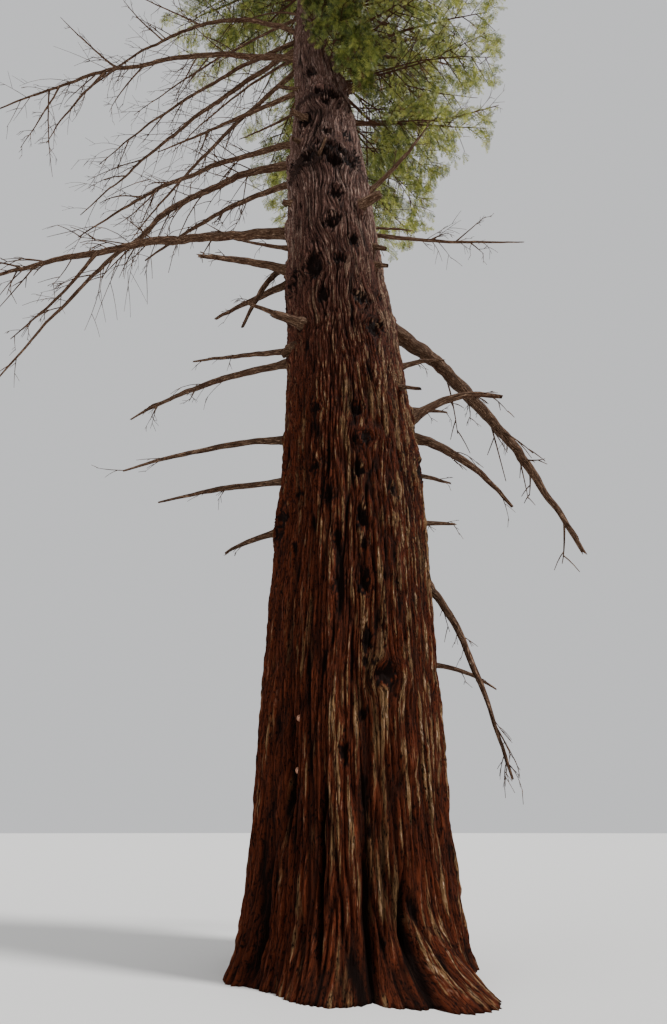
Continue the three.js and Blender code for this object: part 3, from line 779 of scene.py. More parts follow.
# What each value adds to the height of the strands
HEIGHT_SHARES = (("Crumbs", 0.35), ("Chips", 0.55), ("Cracks", -0.3), ("Depth", -0.3))

# Crest value, which sets wear and painted highlight, of bark whose mesh carries none
PLAIN_CREST = 0.6
# Heights on the trunk between which the bark turns to its high colour, and how far it does
HIGH_BARK = (7, 15)
HIGH_ON_WORN = 0.85
HIGH_ON_FRESH = 0.45
BARK_SPECULAR = 0.06
# Fibres for each metre and their height, on each kind of wood
BARK_FINENESS = 58.0
SCAR_FIBRES = (90.0, 0.003)
DEAD_FIBRES = (60.0, 0.006)
BOUGH_FIBRES = (60.0, 0.005)
TWIG_FIBRES = (110.0, 0.002)

NEEDLE_ROUGHNESS = 0.62
NEEDLE_SPECULAR = 0.3
FLOOR_ROUGHNESS = 0.9


@functools.cache
def fibre_group():
    """Fibres that run with the grain: fine strands, broad strips, crumbs and chips that break them
    up, and the cracks between threads, which lie where a noise passes through its middle value."""
    group, inside, outside = node_group(
        "Bark Fibres",
        [("Grain", "NodeSocketVector"), ("Fineness", "NodeSocketFloat")],
        [(label, "NodeSocketFloat") for label in FIBRE_NOISES])
    graph = Graph(group)
    grain, fineness = inside.outputs["Grain"], inside.outputs["Fineness"]
    for label, (length, scale, detail, roughness) in FIBRE_NOISES.items():
        value = graph.noise(
            graph.squeezed(grain, length), graph.scaled(fineness, scale), detail, roughness)
        if label == "Cracks":
            off = graph.math("ABSOLUTE", graph.math("SUBTRACT", value, NOISE_MIDDLE))
            value = graph.band(off, *CRACK_EDGES)
        graph.feed(outside.inputs[label], value)
    return group


@functools.cache
def weathering_group():
    """Colour of weathered bark: fresh and worn strips, painted highlights on the crests, darker
    strands between them, and the painted shade that the trunk's mesh carries."""
    group, inside, outside = node_group(
        "Weathered Bark",
        [(label, "NodeSocketFloat") for label in (*FIBRE_NOISES, "Depth", "Crest")]
        + [(label, "NodeSocketColor") for label in ("Deep", "Fresh", "Worn", "Pale")],
        [("Color", "NodeSocketColor"), ("Roughness", "NodeSocketFloat"),
         ("Height", "NodeSocketFloat")])
    graph = Graph(group)
    take = inside.outputs

    def shown(label, low, high, share):
        return graph.scaled(graph.band(take[label], low, high), share)

    lifted = graph.math("ADD", take["Strips"], graph.scaled(take["Crest"], WORN_ON_CRESTS))
    face = graph.mix(graph.band(lifted, *WORN_LEVELS), take["Fresh"], take["Worn"])

    # Painted highlight: bright strands and chips on the crests, broken up by crumbs
    pale = graph.math("MAXIMUM", shown(*HIGHLIGHT_STRANDS), shown(*HIGHLIGHT_CHIPS))
    pale = graph.math("MULTIPLY", pale, graph.scaled(take["Crest"], HIGHLIGHT_SHARE))
    pale = graph.math("MULTIPLY", pale, shown(*HIGHLIGHT_CRUMBS))
    face = graph.mix(pale, face, take["Pale"])

    dark = graph.math("MAXIMUM", shown(*DARK_STRANDS), graph.scaled(take["Cracks"], CRACK_SHARE))
    dark = graph.math("MAXIMUM", dark, shown(*DARK_CHIPS))
    # Painted shade that the trunk's mesh carries
    dark = graph.math("MAXIMUM", dark, take["Depth"], clamp=True)
    dark = graph.math("ADD", dark, shown(*DARK_CRUMBS), clamp=True)
    graph.feed(outside.inputs["Color"], graph.mix(dark, face, take["Deep"]))

    rough = graph.math("ADD", graph.scaled(take["Strands"], ROUGHNESS_BY_STRANDS), ROUGHNESS_LEAST)
    graph.feed(outside.inputs["Roughness"], rough)
    raised = take["Strands"]
    for label, share in HEIGHT_SHARES:
        raised = graph.math("ADD", raised, graph.scaled(take[label], share))
    graph.feed(outside.inputs["Height"], raised)
    return group


def new_material(name):
    """New material, its shader and its graph."""
    material = bpy.data.materials.new(name)
    material.use_nodes = True
    shader = material.node_tree.nodes["Principled BSDF"]
    return material, shader, Graph(material.node_tree)


def rgba(colour):
    """Opaque colour."""
    return (*colour, 1.0)


def bark_material(name, deep, fresh, worn, pale, fineness, depth, high=None):
    """Bark or weathered wood, with fibres along the grain that the mesh carries. The trunk's bark
    has a high colour too: it is darkened by the painted shade that its mesh carries, worn and given
    painted highlights by its crest value, and turns towards the high colour up the trunk."""
    material, shader, graph = new_material(name)
    fibres = graph.grouped(fibre_group())
    graph.feed(fibres.inputs["Grain"], graph.carried("grain", "Vector"))
    fibres.inputs["Fineness"].default_value = fineness
    weathered = graph.grouped(weathering_group())
    for label in FIBRE_NOISES:
        graph.feed(weathered.inputs[label], fibres.outputs[label])
    for label, colour in (("Deep", deep), ("Fresh", fresh), ("Worn", worn), ("Pale", pale)):
        weathered.inputs[label].default_value = rgba(colour)
    if high is None:
        weathered.inputs["Crest"].default_value = PLAIN_CREST
    else:
        graph.feed(weathered.inputs["Depth"], graph.carried("painted_shade", "Fac"))
        graph.feed(weathered.inputs["Crest"], graph.carried("crest", "Fac"))
        place = graph.tree.nodes.new("ShaderNodeTexCoord").outputs["Object"]
        level = graph.node("ShaderNodeSeparateXYZ", Vector=place).outputs["Z"]
        aloft = graph.scaled(graph.band(level, *HIGH_BARK), HIGH_ON_WORN)
        less = graph.scaled(aloft, HIGH_ON_FRESH)
        graph.feed(weathered.inputs["Fresh"], graph.mix(less, rgba(fresh), rgba(high)))
        graph.feed(weathered.inputs["Worn"], graph.mix(aloft, rgba(worn), rgba(high)))
    graph.feed(shader.inputs["Base Color"], weathered.outputs["Color"])
    graph.feed(shader.inputs["Roughness"], weathered.outputs["Roughness"])
    bump = graph.node("ShaderNodeBump", Distance=depth, Height=weathered.outputs["Height"])
    graph.feed(shader.inputs["Normal"], bump.outputs["Normal"])
    shader.inputs["Specular IOR Level"].default_value = BARK_SPECULAR
    return material


def needle_material(name, colour):
    """Matt needles of one plain colour."""
    material, shader, _ = new_material(name)
    shader.inputs["Base Color"].default_value = rgba(colour)
    shader.inputs["Roughness"].default_value = NEEDLE_ROUGHNESS
    shader.inputs["Specular IOR Level"].default_value = NEEDLE_SPECULAR
    return material


# Trunk


# A collar for a diameter: half width as a share of it, and what is added; half height and rim as
# shares of the half width
LIMB_COLLAR = (0.72, 0.02, 1.25, 0.5)
STUB_COLLAR = (0.7, 0.0, 9 / 7, 3 / 7)
BOUGH_COLLAR = (0.6, 0.03, 1.25, 0.5)

# Round a mark, in its own half sizes: how far it is worked out, how far it parts the grain, and the
# half width from which it does so in full
MARK_REACH = 10
PARTING_REACH = 6.0
PARTING_FULL = 0.11
# Rim of a collar: where it runs, how wide it is
COLLAR_RIM_AT = 1.1
COLLAR_RIM_WIDTH = 0.5
# Bulge over a knot, times its rim: height, reach, and how far up it sits
BULGE_HEIGHT = 1.6
BULGE_REACH = 1.9
BULGE_RISE = 0.5
# Pit of a knot: as far as it is worked out, the edge and the curve of its wall, its share of the
# knot's depth, how much that varies, and how ragged its edge is
PIT_REACH = 4
PIT_EDGE = 1.15
PIT_CURVE = 0.6
PIT_SHARE = 0.8
PIT_VARIES = (0.8, 0.4)
PIT_RAGGED = 0.5
RAGGED_CELLS = (1.5, 1.1, 1)
TORN_CELLS = (3.8, 2.6, 1)
TORN_SHARE = 0.7
# Painted shade in and round a pit: strength, reach, share of the specks, levels between which it
# goes dark
PIT_SHADE_STRENGTH = 1.45
PIT_SHADE_REACH = 1.45
PIT_SHADE_SPECKS = 0.75
PIT_SHADE_LEVELS = (0.68, 0.95)

# Cells of the noises in metres: two across the grain and one along it
SPECK_CELL = (0.03, 0.03, 0.07)
SWAY_CELL = (0.45, 0.45, 0.9)
SWING_CELL = (1.3, 1.3, 2.6)
FLAKE_CELL = (0.045, 0.045, 0.11)
TUFT_CELL = (0.13, 0.13, 0.2)
STRAY_CELL = (0.5, 0.5, 1.5)
CLEFT_CELL = 0.5
# Cells in rib widths: across the grain and along it
RIB_CELL = (1, 18)
CREASE_CELL = (0.45, 8)
THREAD_CELL = (0.3, 4.2)
COLUMN_CELL = (4.4, 48)

# Values that change up the trunk: at the first height, added by the second, the two heights
GRAIN_NARROWS = (1, 0.6, 4, 13)
GRAIN_SWAYS = (0.02, 0.06, 4, 13)
GRAIN_SWINGS = (0.02, 0.2, 9, 15)
THREADS_SHOW = (0.32, 0.5, 1.6, 0.2)
FOOT_CALMS = (0.75, 0.25, 0, 0.5)
# The grain narrows as this power of the bole's radius, which counts as at least so much
NARROWING = 0.35
THINNEST_BOLE = 0.1
THINNEST_TRUNK = 0.05
# Relief falls with the trunk's radius: full radius, least and greatest share, power
RELIEF_RADIUS = 1.2
RELIEF_LIMITS = (0.05, 1.15)
RELIEF_POWER = 0.8
RELIEF_MOST = 0.6

# Half width of each line where its noise passes through nought, as a level of that noise
FURROW_LINE = 0.2
CREASE_LINE = 0.24
GULLY_LINE = 0.06
SHADE_LINE = 0.15
# Height of each part of the bark as a share of the furrows' depth
COLUMN_SHARE = 0.7
GULLY_SHARE = 0.8
FACE_SHARE = 0.1
CREASE_SHARE = 0.5
CREASE_LEVEL = 0.4
FLAKE_SHARE = 0.32
# Darkness of the painted shade in the furrows, creases, gullies and clefts, and of the painted
# shadow in the whorl bands
SHADE_DARK = 0.85
CREASE_DARK = 0.5
GULLY_DARK = 0.5
WHORL_SHADOW_DARK = 0.85
CLEFT_DARK = 1.3
# Levels of the ribs' noise between which their crests wear pale and take painted highlight, what
# the lit side adds to that and the shaded side takes from it, both as painted light, and the
# heights over which each sets in
CREST_LEVELS = (0.22, 0.55)
LIT_SIDE_SHARE = 1.5
LIT_SIDE_HEIGHTS = (0.5, 2.5)
SHADED_SIDE_SHARE = 0.75
SHADED_SIDE_HEIGHTS = (14, 9)
# Whorls: how far round they reach as a level of -sin(angle), height of their tufts, how the tufts
# and specks break up their painted shadow, and the levels between which it goes dark
WHORL_FRONT = (-0.3, 0.45)
TUFT_HEIGHT = 0.05
WHORL_SHADOW_TUFTS = 0.7
WHORL_SHADOW_SPECKS = 0.4
WHORL_SHADOW_LEVELS = (0.45, 0.9)
# Clefts: how far they wander, and the heights past their foot and top between which they open
CLEFT_WANDER = 0.06
CLEFT_FOOT = (-0.3, 0.1)
CLEFT_TOP = (0.1, -0.7)


def collar(height, azimuth, size, shape):
    """Mark of a collar: it has a rim and no pit."""
    across, added, upright, rim = shape
    half = across * size + added
    return Mark(height, azimuth, half, upright * half, 0.0, rim * half)


@functools.cache
def trunk_marks():
    """Everything that the grain flows round: the front's knots, seeded ones on the sides and the
    back, and the collars of limbs, stubs and boughs."""
    marks = [
        Mark(*knot, knot[2] * (RIM_SHARE if knot[2] > SMALL_KNOT else SMALL_RIM_SHARE))
        for knot in FRONT_KNOTS]
    draw = draws("back_knots")
    for _ in range(BACK_KNOTS):
        height = draw.uniform(*BACK_KNOT_HEIGHTS)
        half = float(bole_at(np.array(height))) * draw.uniform(*BACK_KNOT_WIDTHS)
        marks.append(Mark(
            height, draw.uniform(*BACK_KNOT_AZIMUTHS), half,
            half * draw.uniform(*BACK_KNOT_HEIGHT_SHARES), half * draw.uniform(*BACK_KNOT_DEPTHS),
            RIM_SHARE * half))
    for limb in BARE_LIMBS + SLIGHT_LIMBS:
        marks.append(collar(limb.height, limb.azimuth, limb.thick, LIMB_COLLAR))
    for stub in BROKEN_STUBS:
        marks.append(collar(stub.height, stub.azimuth, stub.thick, STUB_COLLAR))
    for space in crown_spaces():
        if space["bough"] > 0:
            girth = BOUGH_GIRTH * space["reach"]
            marks.append(collar(space["shelf"], space["azimuth"], girth, BOUGH_COLLAR))
    return marks


def graded(height, first, added, low, high):
    """Value that changes up the trunk: the first one, plus what is added by a smooth step."""
    return first + added * smooth_step(height, low, high)


def marked_bark(height, angle, radius, specks):
    """How far the marks shift the grain aside, their painted shade and how far they stand off.

    The grain parts round a mark as water does round a post: a place at off across it is read as
    off * (1 - 1/q^2), with q its distance from the mark in the mark's own half sizes, and less so
    farther off. A knot bulges as exp(-(q/1.9)^2) round a place above it, and is hollow where
    1.15 - q^2 is above nought, with q made ragged by two noises. A collar has a rim as a bell curve
    of q and a dome inside it."""
    shift, pit, stand = np.zeros_like(radius), np.zeros_like(radius), np.zeros_like(radius)
    for mark in trunk_marks():
        far = MARK_REACH * mark.half_height
        if mark.height < height.min() - far or mark.height > height.max() + far:
            continue
        off = turn_between(math.radians(mark.azimuth), angle) * radius
        across, rise = off / mark.half_width, (height - mark.height) / mark.half_height
        q = np.sqrt(across**2 + rise**2)
        near = bell(q, PARTING_REACH) * min(1.0, (mark.half_width / PARTING_FULL) ** 2)
        shift -= off / np.maximum(q, 1) ** 2 * near
        if mark.depth == 0:
            rim = mark.rim * bell(q - COLLAR_RIM_AT, COLLAR_RIM_WIDTH)
            stand += rim + mark.rim * np.clip(1 - q**2, 0, 1)
            continue
        over = np.sqrt(across**2 + (rise - BULGE_RISE) ** 2)
        stand += BULGE_HEIGHT * mark.rim * bell(over, BULGE_REACH)
        close = q < PIT_REACH
        seat = np.stack(
            [across[close], rise[close], np.full(close.sum(), mark.azimuth + mark.height)], -1)
        ragged = noise(seat * RAGGED_CELLS, SEEDS["ragged"])
        ragged = ragged + TORN_SHARE * noise(seat * TORN_CELLS, SEEDS["torn"])
        torn = q[close] * (1 + PIT_RAGGED * ragged)
        hole = np.clip(PIT_EDGE - torn**2, 0, 1) ** PIT_CURVE
        varies = PIT_VARIES[0] + PIT_VARIES[1] * ragged
        stand[close] -= PIT_SHARE * mark.depth * hole * varies
        # Painted shade in and round the pit
        pit_shade = PIT_SHADE_STRENGTH * bell(torn, PIT_SHADE_REACH) + PIT_SHADE_SPECKS * specks[close]
        pit[close] = np.maximum(pit[close], smooth_step(pit_shade, *PIT_SHADE_LEVELS))
    return shift, pit, stand


def bark_grain(height, angle, radius, shift):
    """Place of each point in the grain: on a straight bole, with the flare unrolled along it and
    turned by the marks' shift. Its cells narrow as the bole does, and two noises sway it, more so
    higher up."""
    bole = bole_at(height)
    turned = angle + shift / np.maximum(radius, THINNEST_TRUNK)
    narrow = (TRUNK_STATIONS[0, 1] / 2 / np.maximum(bole, THINNEST_BOLE)) ** NARROWING
    narrow = narrow * graded(height, *GRAIN_NARROWS)
    flare = radius - bole
    place = np.stack([bole * np.cos(turned), bole * np.sin(turned), height - flare], -1)
    grain = place * np.stack([narrow, narrow, np.ones_like(narrow)], -1)
    sway = graded(height, *GRAIN_SWAYS)[..., None] * noises(place / SWAY_CELL, SEEDS["sway"])
    swing = graded(height, *GRAIN_SWINGS)[..., None] * noises(place / SWING_CELL, SEEDS["swing"])
    grain[..., :2] += sway + swing
    return grain


def rib_noise(grain, cell, seed):
    """Noise in the grain with its cell in rib widths."""
    rib = sizes().rib_width
    across, length = cell[0] * rib, cell[1] * rib
    return noise(grain / (across, across, length), seed)


def whorl_bands(height, angle, straight):
    """How strongly the whorls' ragged bands cross each point, and the tufts in them: a bell curve
    of the height off each whorl, with the height strayed by a noise, on the front only."""
    tufts = noise(straight / TUFT_CELL, SEEDS["tufts"])
    strayed = height + WHORL_WANDER * noise(straight / STRAY_CELL, SEEDS["strayed"])
    ring = np.zeros_like(height)
    for level, half_height in WHORLS:
        ring += bell(strayed - level, half_height)
    return ring * smooth_step(-np.sin(angle), *WHORL_FRONT), tufts


def cleft_cuts(height, angle, radius):
    """Depth of each cleft and the share of it at each point: a bell curve across a line that leans
    from its foot to its top and wanders by a noise of the height."""
    level = np.stack([height / CLEFT_CELL, 0 * height, 0 * height], -1)
    for top_azimuth, foot_azimuth, top, foot, half_width, depth in CLEFTS:
        way = np.clip((height - foot) / (top - foot), 0, 1)
        azimuth = np.radians(foot_azimuth + (top_azimuth - foot_azimuth) * way)
        wander = CLEFT_WANDER * noise(level, int(top_azimuth) + SEEDS["clefts"])
        off = turn_between(azimuth, angle) * radius + wander
        opens = smooth_step(height, foot + CLEFT_FOOT[0], foot + CLEFT_FOOT[1])
        closes = smooth_step(height, top + CLEFT_TOP[0], top + CLEFT_TOP[1])
        yield depth, bell(off, half_width) * (opens * closes)


def bark_relief(height, angle):
    """How far the bark stands off the smooth trunk, its painted shade, its crest value of wear and
    painted highlight, and its grain.

    Furrows, creases and gullies are the thin zones where a noise drawn out along the grain passes
    through nought, exp(-(n/w)^2) deep. Broad columns, threads and flakes are noises of their own.
    The marks, the whorls' tufts and the clefts are added to that, and the lower half lies inside
    the smooth trunk by the waist."""
    radius = trunk_radius(height, angle)
    thickness = np.clip(radius / RELIEF_RADIUS, *RELIEF_LIMITS) ** RELIEF_POWER
    scale = thickness * graded(height, *FOOT_CALMS)
    straight = np.stack([radius * np.cos(angle), radius * np.sin(angle), height], -1)
    specks = noise(straight / SPECK_CELL, SEEDS["specks"])
    shift, pit, stand = marked_bark(height, angle, radius, specks)
    grain = bark_grain(height, angle, radius, shift)

    ribs = rib_noise(grain, RIB_CELL, SEEDS["ribs"])
    thread = rib_noise(grain, THREAD_CELL, SEEDS["threads"])
    column = rib_noise(grain, COLUMN_CELL, SEEDS["columns"])
    crease = bell(rib_noise(grain, CREASE_CELL, SEEDS["creases"]), CREASE_LINE)
    gully = bell(column, GULLY_LINE)
    flakes = noise(grain / FLAKE_CELL, SEEDS["flakes"])
    deep = sizes().furrow_depth
    stand += scale * (
        COLUMN_SHARE * deep * column - GULLY_SHARE * deep * gully + FACE_SHARE * deep
        - deep * bell(ribs, FURROW_LINE) + CREASE_SHARE * deep * (CREASE_LEVEL - crease)
        + graded(height, *THREADS_SHOW) * deep * thread + FLAKE_SHARE * deep * flakes)

    ring, tufts = whorl_bands(height, angle, straight)
    stand += TUFT_HEIGHT * ring * tufts
    # Painted shadow in the whorl bands, broken up by their tufts and specks
    whorl_shadow = smooth_step(ring * (1 + WHORL_SHADOW_TUFTS * tufts + WHORL_SHADOW_SPECKS * specks), *WHORL_SHADOW_LEVELS)
    cleft = np.zeros_like(radius)
    for depth, cut in cleft_cuts(height, angle, radius):
        stand -= depth * cut
        cleft = np.maximum(cleft, cut)
    stand -= WAIST * smooth_step(height, *WAIST_IN) * smooth_step(height, *WAIST_OUT)

    # Painted shade in the furrows, creases, gullies, knot pits and clefts, and painted shadow in
    # the whorl bands
    shade = bell(ribs, SHADE_LINE)
    dark = SHADE_DARK * shade + CREASE_DARK * crease * (1 - shade) + GULLY_DARK * gully
    dark = np.maximum.reduce([
        np.clip(dark, 0, 1), pit, WHORL_SHADOW_DARK * whorl_shadow, np.clip(CLEFT_DARK * cleft, 0, 1)])
    # Crest value: wear and painted highlight on the ribs' crests, more on the lit side and less on
    # the shaded side
    crest = smooth_step(np.abs(ribs), *CREST_LEVELS) * (1 - crease) * (1 - dark)
    lit_side = facing(angle, *LIT_SIDE) * smooth_step(height, *LIT_SIDE_HEIGHTS)
    shaded_side = facing(angle, *SHADED_SIDE) * smooth_step(height, *SHADED_SIDE_HEIGHTS)
    crest = crest * (1 + LIT_SIDE_SHARE * lit_side) * (1 - SHADED_SIDE_SHARE * shaded_side)
    limit = RELIEF_MOST * radius
    return np.clip(stand, -limit, limit), dark, crest, grain


def trunk_shape(foot, top, columns, rows):
    """Grid round the trunk, one column an angle and one row a height, each point pushed out from
    the smooth trunk by the bark's relief. At a seam three more rows sink in under the neighbour.
    Each end is closed by a flat fan round its middle."""
    rise = np.linspace(foot, top, rows + 1)
    depth = np.zeros(rows + 1)
    if foot > 0:
        rise, depth = np.append(foot - TUCK[::-1, 0], rise), np.append(TUCK[::-1, 1], depth)
    if top < TRUNK_TOP:
        rise, depth = np.append(rise, top + TUCK[:, 0]), np.append(depth, TUCK[:, 1])
    height, angle = np.meshgrid(rise, round_turn(columns), indexing="ij")
    stand, dark, crest, grain = bark_relief(height, angle)
    points = trunk_point(height, trunk_radius(height, angle) + stand - depth[:, None], angle)
    index = np.arange(height.size).reshape(1, len(rise), columns)
    middles = np.array([[lean_at(level), 0, level] for level in (rise[0], rise[-1])])
    low, high = index[0, 0], index[0, -1]
    hub = np.full(columns, height.size)
    fans = np.concatenate([
        np.stack([hub, np.roll(low, -1), low], -1),
        np.stack([hub + 1, high, np.roll(high, -1)], -1)])
    values = {
        "grain": np.concatenate([grain.reshape(-1, 3), middles]),
        "painted_shade": np.append(dark, [1.0, 1.0]),
        "crest": np.append(crest, [0.0, 0.0])}
    faces = [ring_faces(index), fans]
    flat = np.repeat([False, True], [len(group) for group in faces])
    return Shape(np.concatenate([points.reshape(-1, 3), middles]), faces, values, flat=flat)


class REDWOOD_OT_trunk(bpy.types.Operator):
    """Builds the trunk's bark in four meshes, from the foot to the tip."""

    bl_idname = "redwood.trunk"
    bl_label = "Trunk"

    def execute(self, context):
        tone = colours()
        bark = bark_material(
            "furrowed_bark", tone.bark_dark_and_shade, tone.bark_red, tone.bark_tan, tone.bark_highlight,
            BARK_FINENESS, sizes().fibre_depth, tone.bark_grey)
        for name, *span in TRUNK_PIECES:
            make_piece(name, trunk_shape(*span), [bark], ["trunk"])
        return {"FINISHED"}


def bark_seat(height, azimuth):
    """Point on the bark at a height and azimuth, and the direction out of it."""
    angle = np.array([[math.radians(azimuth)]])
    level = np.array([[height]])
    radius = float((trunk_radius(level, angle) + bark_relief(level, angle)[0])[0, 0])
    out = np.array([math.cos(angle[0, 0]), math.sin(angle[0, 0]), 0.0])
    return np.array([float(lean_at(height)), 0.0, height]) + radius * out, out


# Rings of a scar from under the bark to its face: distance out, share of its radius
SCAR_WAYS = np.array([-0.05, 0.012, 0.025, 0.026, 0.015])
SCAR_RINGS = np.array([0.9, 1.08, 1.0, 0.75, 0.34])
SCAR_SIDES = 14


class REDWOOD_OT_scars(bpy.types.Operator):
    """Builds the pale scars that two cut shoots left on the front of the trunk."""

    bl_idname = "redwood.scars"
    bl_label = "Shoot Scars"

    def execute(self, context):
        tone = colours()
        wood = bark_material(
            "scar_wood", tone.bark_red, tone.scar_wood, tone.scar_wood, tone.scar_wood,
            *SCAR_FIBRES)
        shapes = []
        for height, azimuth, size in SHOOT_SCARS:
            seat, out = bark_seat(height, azimuth)
            path = seat + SCAR_WAYS[:, None] * out
            shapes.append(tubes(path[None], (SCAR_RINGS * size)[None, :, None], SCAR_SIDES))
        make_piece("shoot_scars", Shape.joined(shapes), [wood], ["trunk"])
        return {"FINISHED"}


# Dead limbs


# Waver of dead wood: its cell and height as shares of the length. Kinks: how much finer they are,
# and their height for no thickness and for each metre of it. Both fade out at the root and the tip
WAVER_CELL = 0.9
WAVER_SHARE = 0.007
KINKS_FINER = 4
KINK_HEIGHT = (0.004, 0.08)
FREE_FROM_ROOT = (0, 0.15)
FREE_TO_TIP = (1.0, 0.85)
# Noises are read off the grid on which they are nought
MIDDLE = 0.5
# Skin of dead wood: its noise round it and along it, how much finer its strips are, how far knobs
# and strips stand out as shares of the radius, and steps from one limb's noise to the next
SKIN_ROUND = 1.3
SKIN_LENGTH = 0.16
STRIPS_FINER = (2, 2, 0.3)
KNOB_SHARE = 0.12
STRIP_SHARE = 0.16
KNOB_STEP = 3.7
STRIP_STEP = 5.1
SPLINTERS = 9
LIMB_SIDES = 10
# Distance between rings, and the fewest and most rings, of a limb and a fork
LIMB_RINGS = (0.07, 14, 110)
FORK_RINGS = (0.09, 8, 40)
STUB_SHARES = np.linspace(0, 1, 9)
STUB_INNER_RING = 0.4
# Numbers that the slight limbs, stubs and forks are counted on from
FIRST_SLIGHT = 40
FIRST_STUB = 60
FIRST_FORK = 80

# Seeded forks, as ranges of random draws: share of the way along the limb, slope and heading off
# the limb's in degrees, length as a share of the limb's, degrees that the tip sinks, diameter
FORK_SEATS = (0.3, 0.9)
FORK_RISES = (-25, 25)
FORK_TURNS = (20, 50)
FORK_LENGTHS = (0.1, 0.24)
FORK_SINKS = (0, 45)
FORK_GIRTHS = (0.022, 0.04)

# Lengths of offshoots: share of the parent's at its foot, fall of that to its tip, range of what it
# is multiplied by, and what is added. Tapers: shares of the radius at both ends, rings, sides

# Dead twigs, with ranges of random draws: fewest on a limb, place on it, aim aside and up, lengths,
# diameter as shares of the limb's at its root and tip, how it varies and its limits
DEAD_TWIGS_LEAST = 3
DEAD_SEATS = (0.14, 0.985)
DEAD_SPREADS = (0.3, 1.1)
DEAD_LIFTS = (-0.5, 0.4)
DEAD_LENGTHS = (1.2, 0.65, (0.05, 0.22), 0.18)
DEAD_GIRTH_SHARES = (0.3, 0.7)
DEAD_GIRTHS_VARY = (0.6, 1)
DEAD_GIRTH_LIMITS = (0.019, 0.042)
# How far they go out, curl and bend as shares of their length, and their taper
DEAD_OUT = 0.9
DEAD_CURLS = (-0.5, 0.12)
DEAD_BEND = 0.07
DEAD_TAPER = (0.5, 0.18, 6, 4)
# Finer twigs on each: number, share of the way along it, aim aside and up, length as a share of
# its own, how far the tip sinks, taper, least radius
FINE_PER_TWIG = 2
FINE_SEATS = (0.2, 1.0)
FINE_SPREADS = (0.4, 1.1)
FINE_LIFTS = (-0.6, 0.3)
FINE_LENGTHS = (0.2, 0.5)
FINE_SINKS = (0, 0.5)
FINE_TAPER = (0.36, 0.18, 4, 3)
FINE_LEAST = 0.004


def ring_count(length, gap, fewest, most):
    return int(np.clip(length / gap, fewest, most))


def hands(count):
    """Left and right in turn, as -1 and 1."""
    return np.where(np.arange(count) % 2, 1.0, -1.0)


def seats_along(shares, length, cell, number):
    """Places in a noise for shares of a length, apart from those of any other number."""
    return np.stack([shares * length / cell, np.full_like(shares, number), 0 * shares], -1)


def offshoot_lengths(parent, share, lengths, draw):
    """Lengths of offshoots at shares of their parents."""
    foot, fall, varies, added = lengths
    return parent * draw.uniform(*varies, len(share)) * (foot - fall * share) + added


def tapered(curve, radii, start, end, rings, sides, least=0.0):
    """Tubes along curves, each of its own radius times a taper."""
    taper = np.linspace(start, end, rings)[None, :, None] * radii[:, None, None]
    return tubes(bent(*curve, rings), np.maximum(taper, least), sides)


def wood_shape(route, shares, length, thick, thin, number):
    """Bare wood along a route: a slight waver added, its taper and collar, and a ring radius that
    noise makes knobbly. The tip is splintered back by a random share of its width."""
    seats = seats_along(shares, length, WAVER_CELL, number)
    free = smooth_step(shares, *FREE_FROM_ROOT) * smooth_step(shares, *FREE_TO_TIP)
    waver = WAVER_SHARE * length * noises(seats + MIDDLE, SEEDS["limb_waver"])
    kink = (KINK_HEIGHT[0] + KINK_HEIGHT[1] * thick) * noises(
        seats * KINKS_FINER + MIDDLE, SEEDS["limb_kinks"])
    path = route(shares) + free[:, None] * (waver + kink)
    out = np.maximum(shares, 0)
    girth = thick + (thin - thick) * out**LATE_TAPER
    girth = girth * (1 + COLLAR_SWELL * np.exp(-out / COLLAR_LENGTH))
    turn = round_turn(LIMB_SIDES)
    skin = np.stack(np.broadcast_arrays(
        SKIN_ROUND * np.cos(turn), SKIN_ROUND * np.sin(turn),
        (shares * length / SKIN_LENGTH)[:, None]), -1)
    knobs = noise(skin + number * KNOB_STEP, SEEDS["knobs"])
    strips = noise(skin * STRIPS_FINER + number * STRIP_STEP, SEEDS["strips"])
    radii = girth[:, None] / 2 * (1 + KNOB_SHARE * knobs + STRIP_SHARE * strips)
    shape = tubes(path[None], radii[None], LIMB_SIDES)
    cells = np.stack([turn * SPLINTERS, turn * 0 + number, turn * 0], -1)
    splinter = 1 + hashed(cells, SEEDS["splinters"])
    tip = shape.points[-LIMB_SIDES:]
    tip -= unit(path[-1] - path[-2]) * (thin * splinter)[:, None]
    return shape


def limb_shape(limb, number):
    """Wood of one bare limb, from its root in the trunk to its tip. Old bark is a third as thick at
    the tip as at the trunk."""
    root = trunk_radius(limb.height, math.radians(limb.azimuth))
    inner = -root * ROOT_DEPTH / (limb.reach - root)
    length = limb_length(limb)
    outer = np.linspace(0, 1, ring_count(length, *LIMB_RINGS))
    bark = float(np.interp(limb.height, OLD_BARK_FADE, (OLD_BARK, 0)))
    return wood_shape(
        functools.partial(limb_route, limb), np.concatenate([[inner, inner / 3], outer]), length,
        limb.thick + bark, limb.thin + bark / 3, number)


def heading_of(azimuth, rise):
    """Unit vector towards an azimuth and a slope in degrees."""
    turn, climb = math.radians(azimuth), math.radians(rise)
    level = math.cos(climb)
    return np.array([math.cos(turn) * level, math.sin(turn) * level, math.sin(climb)])


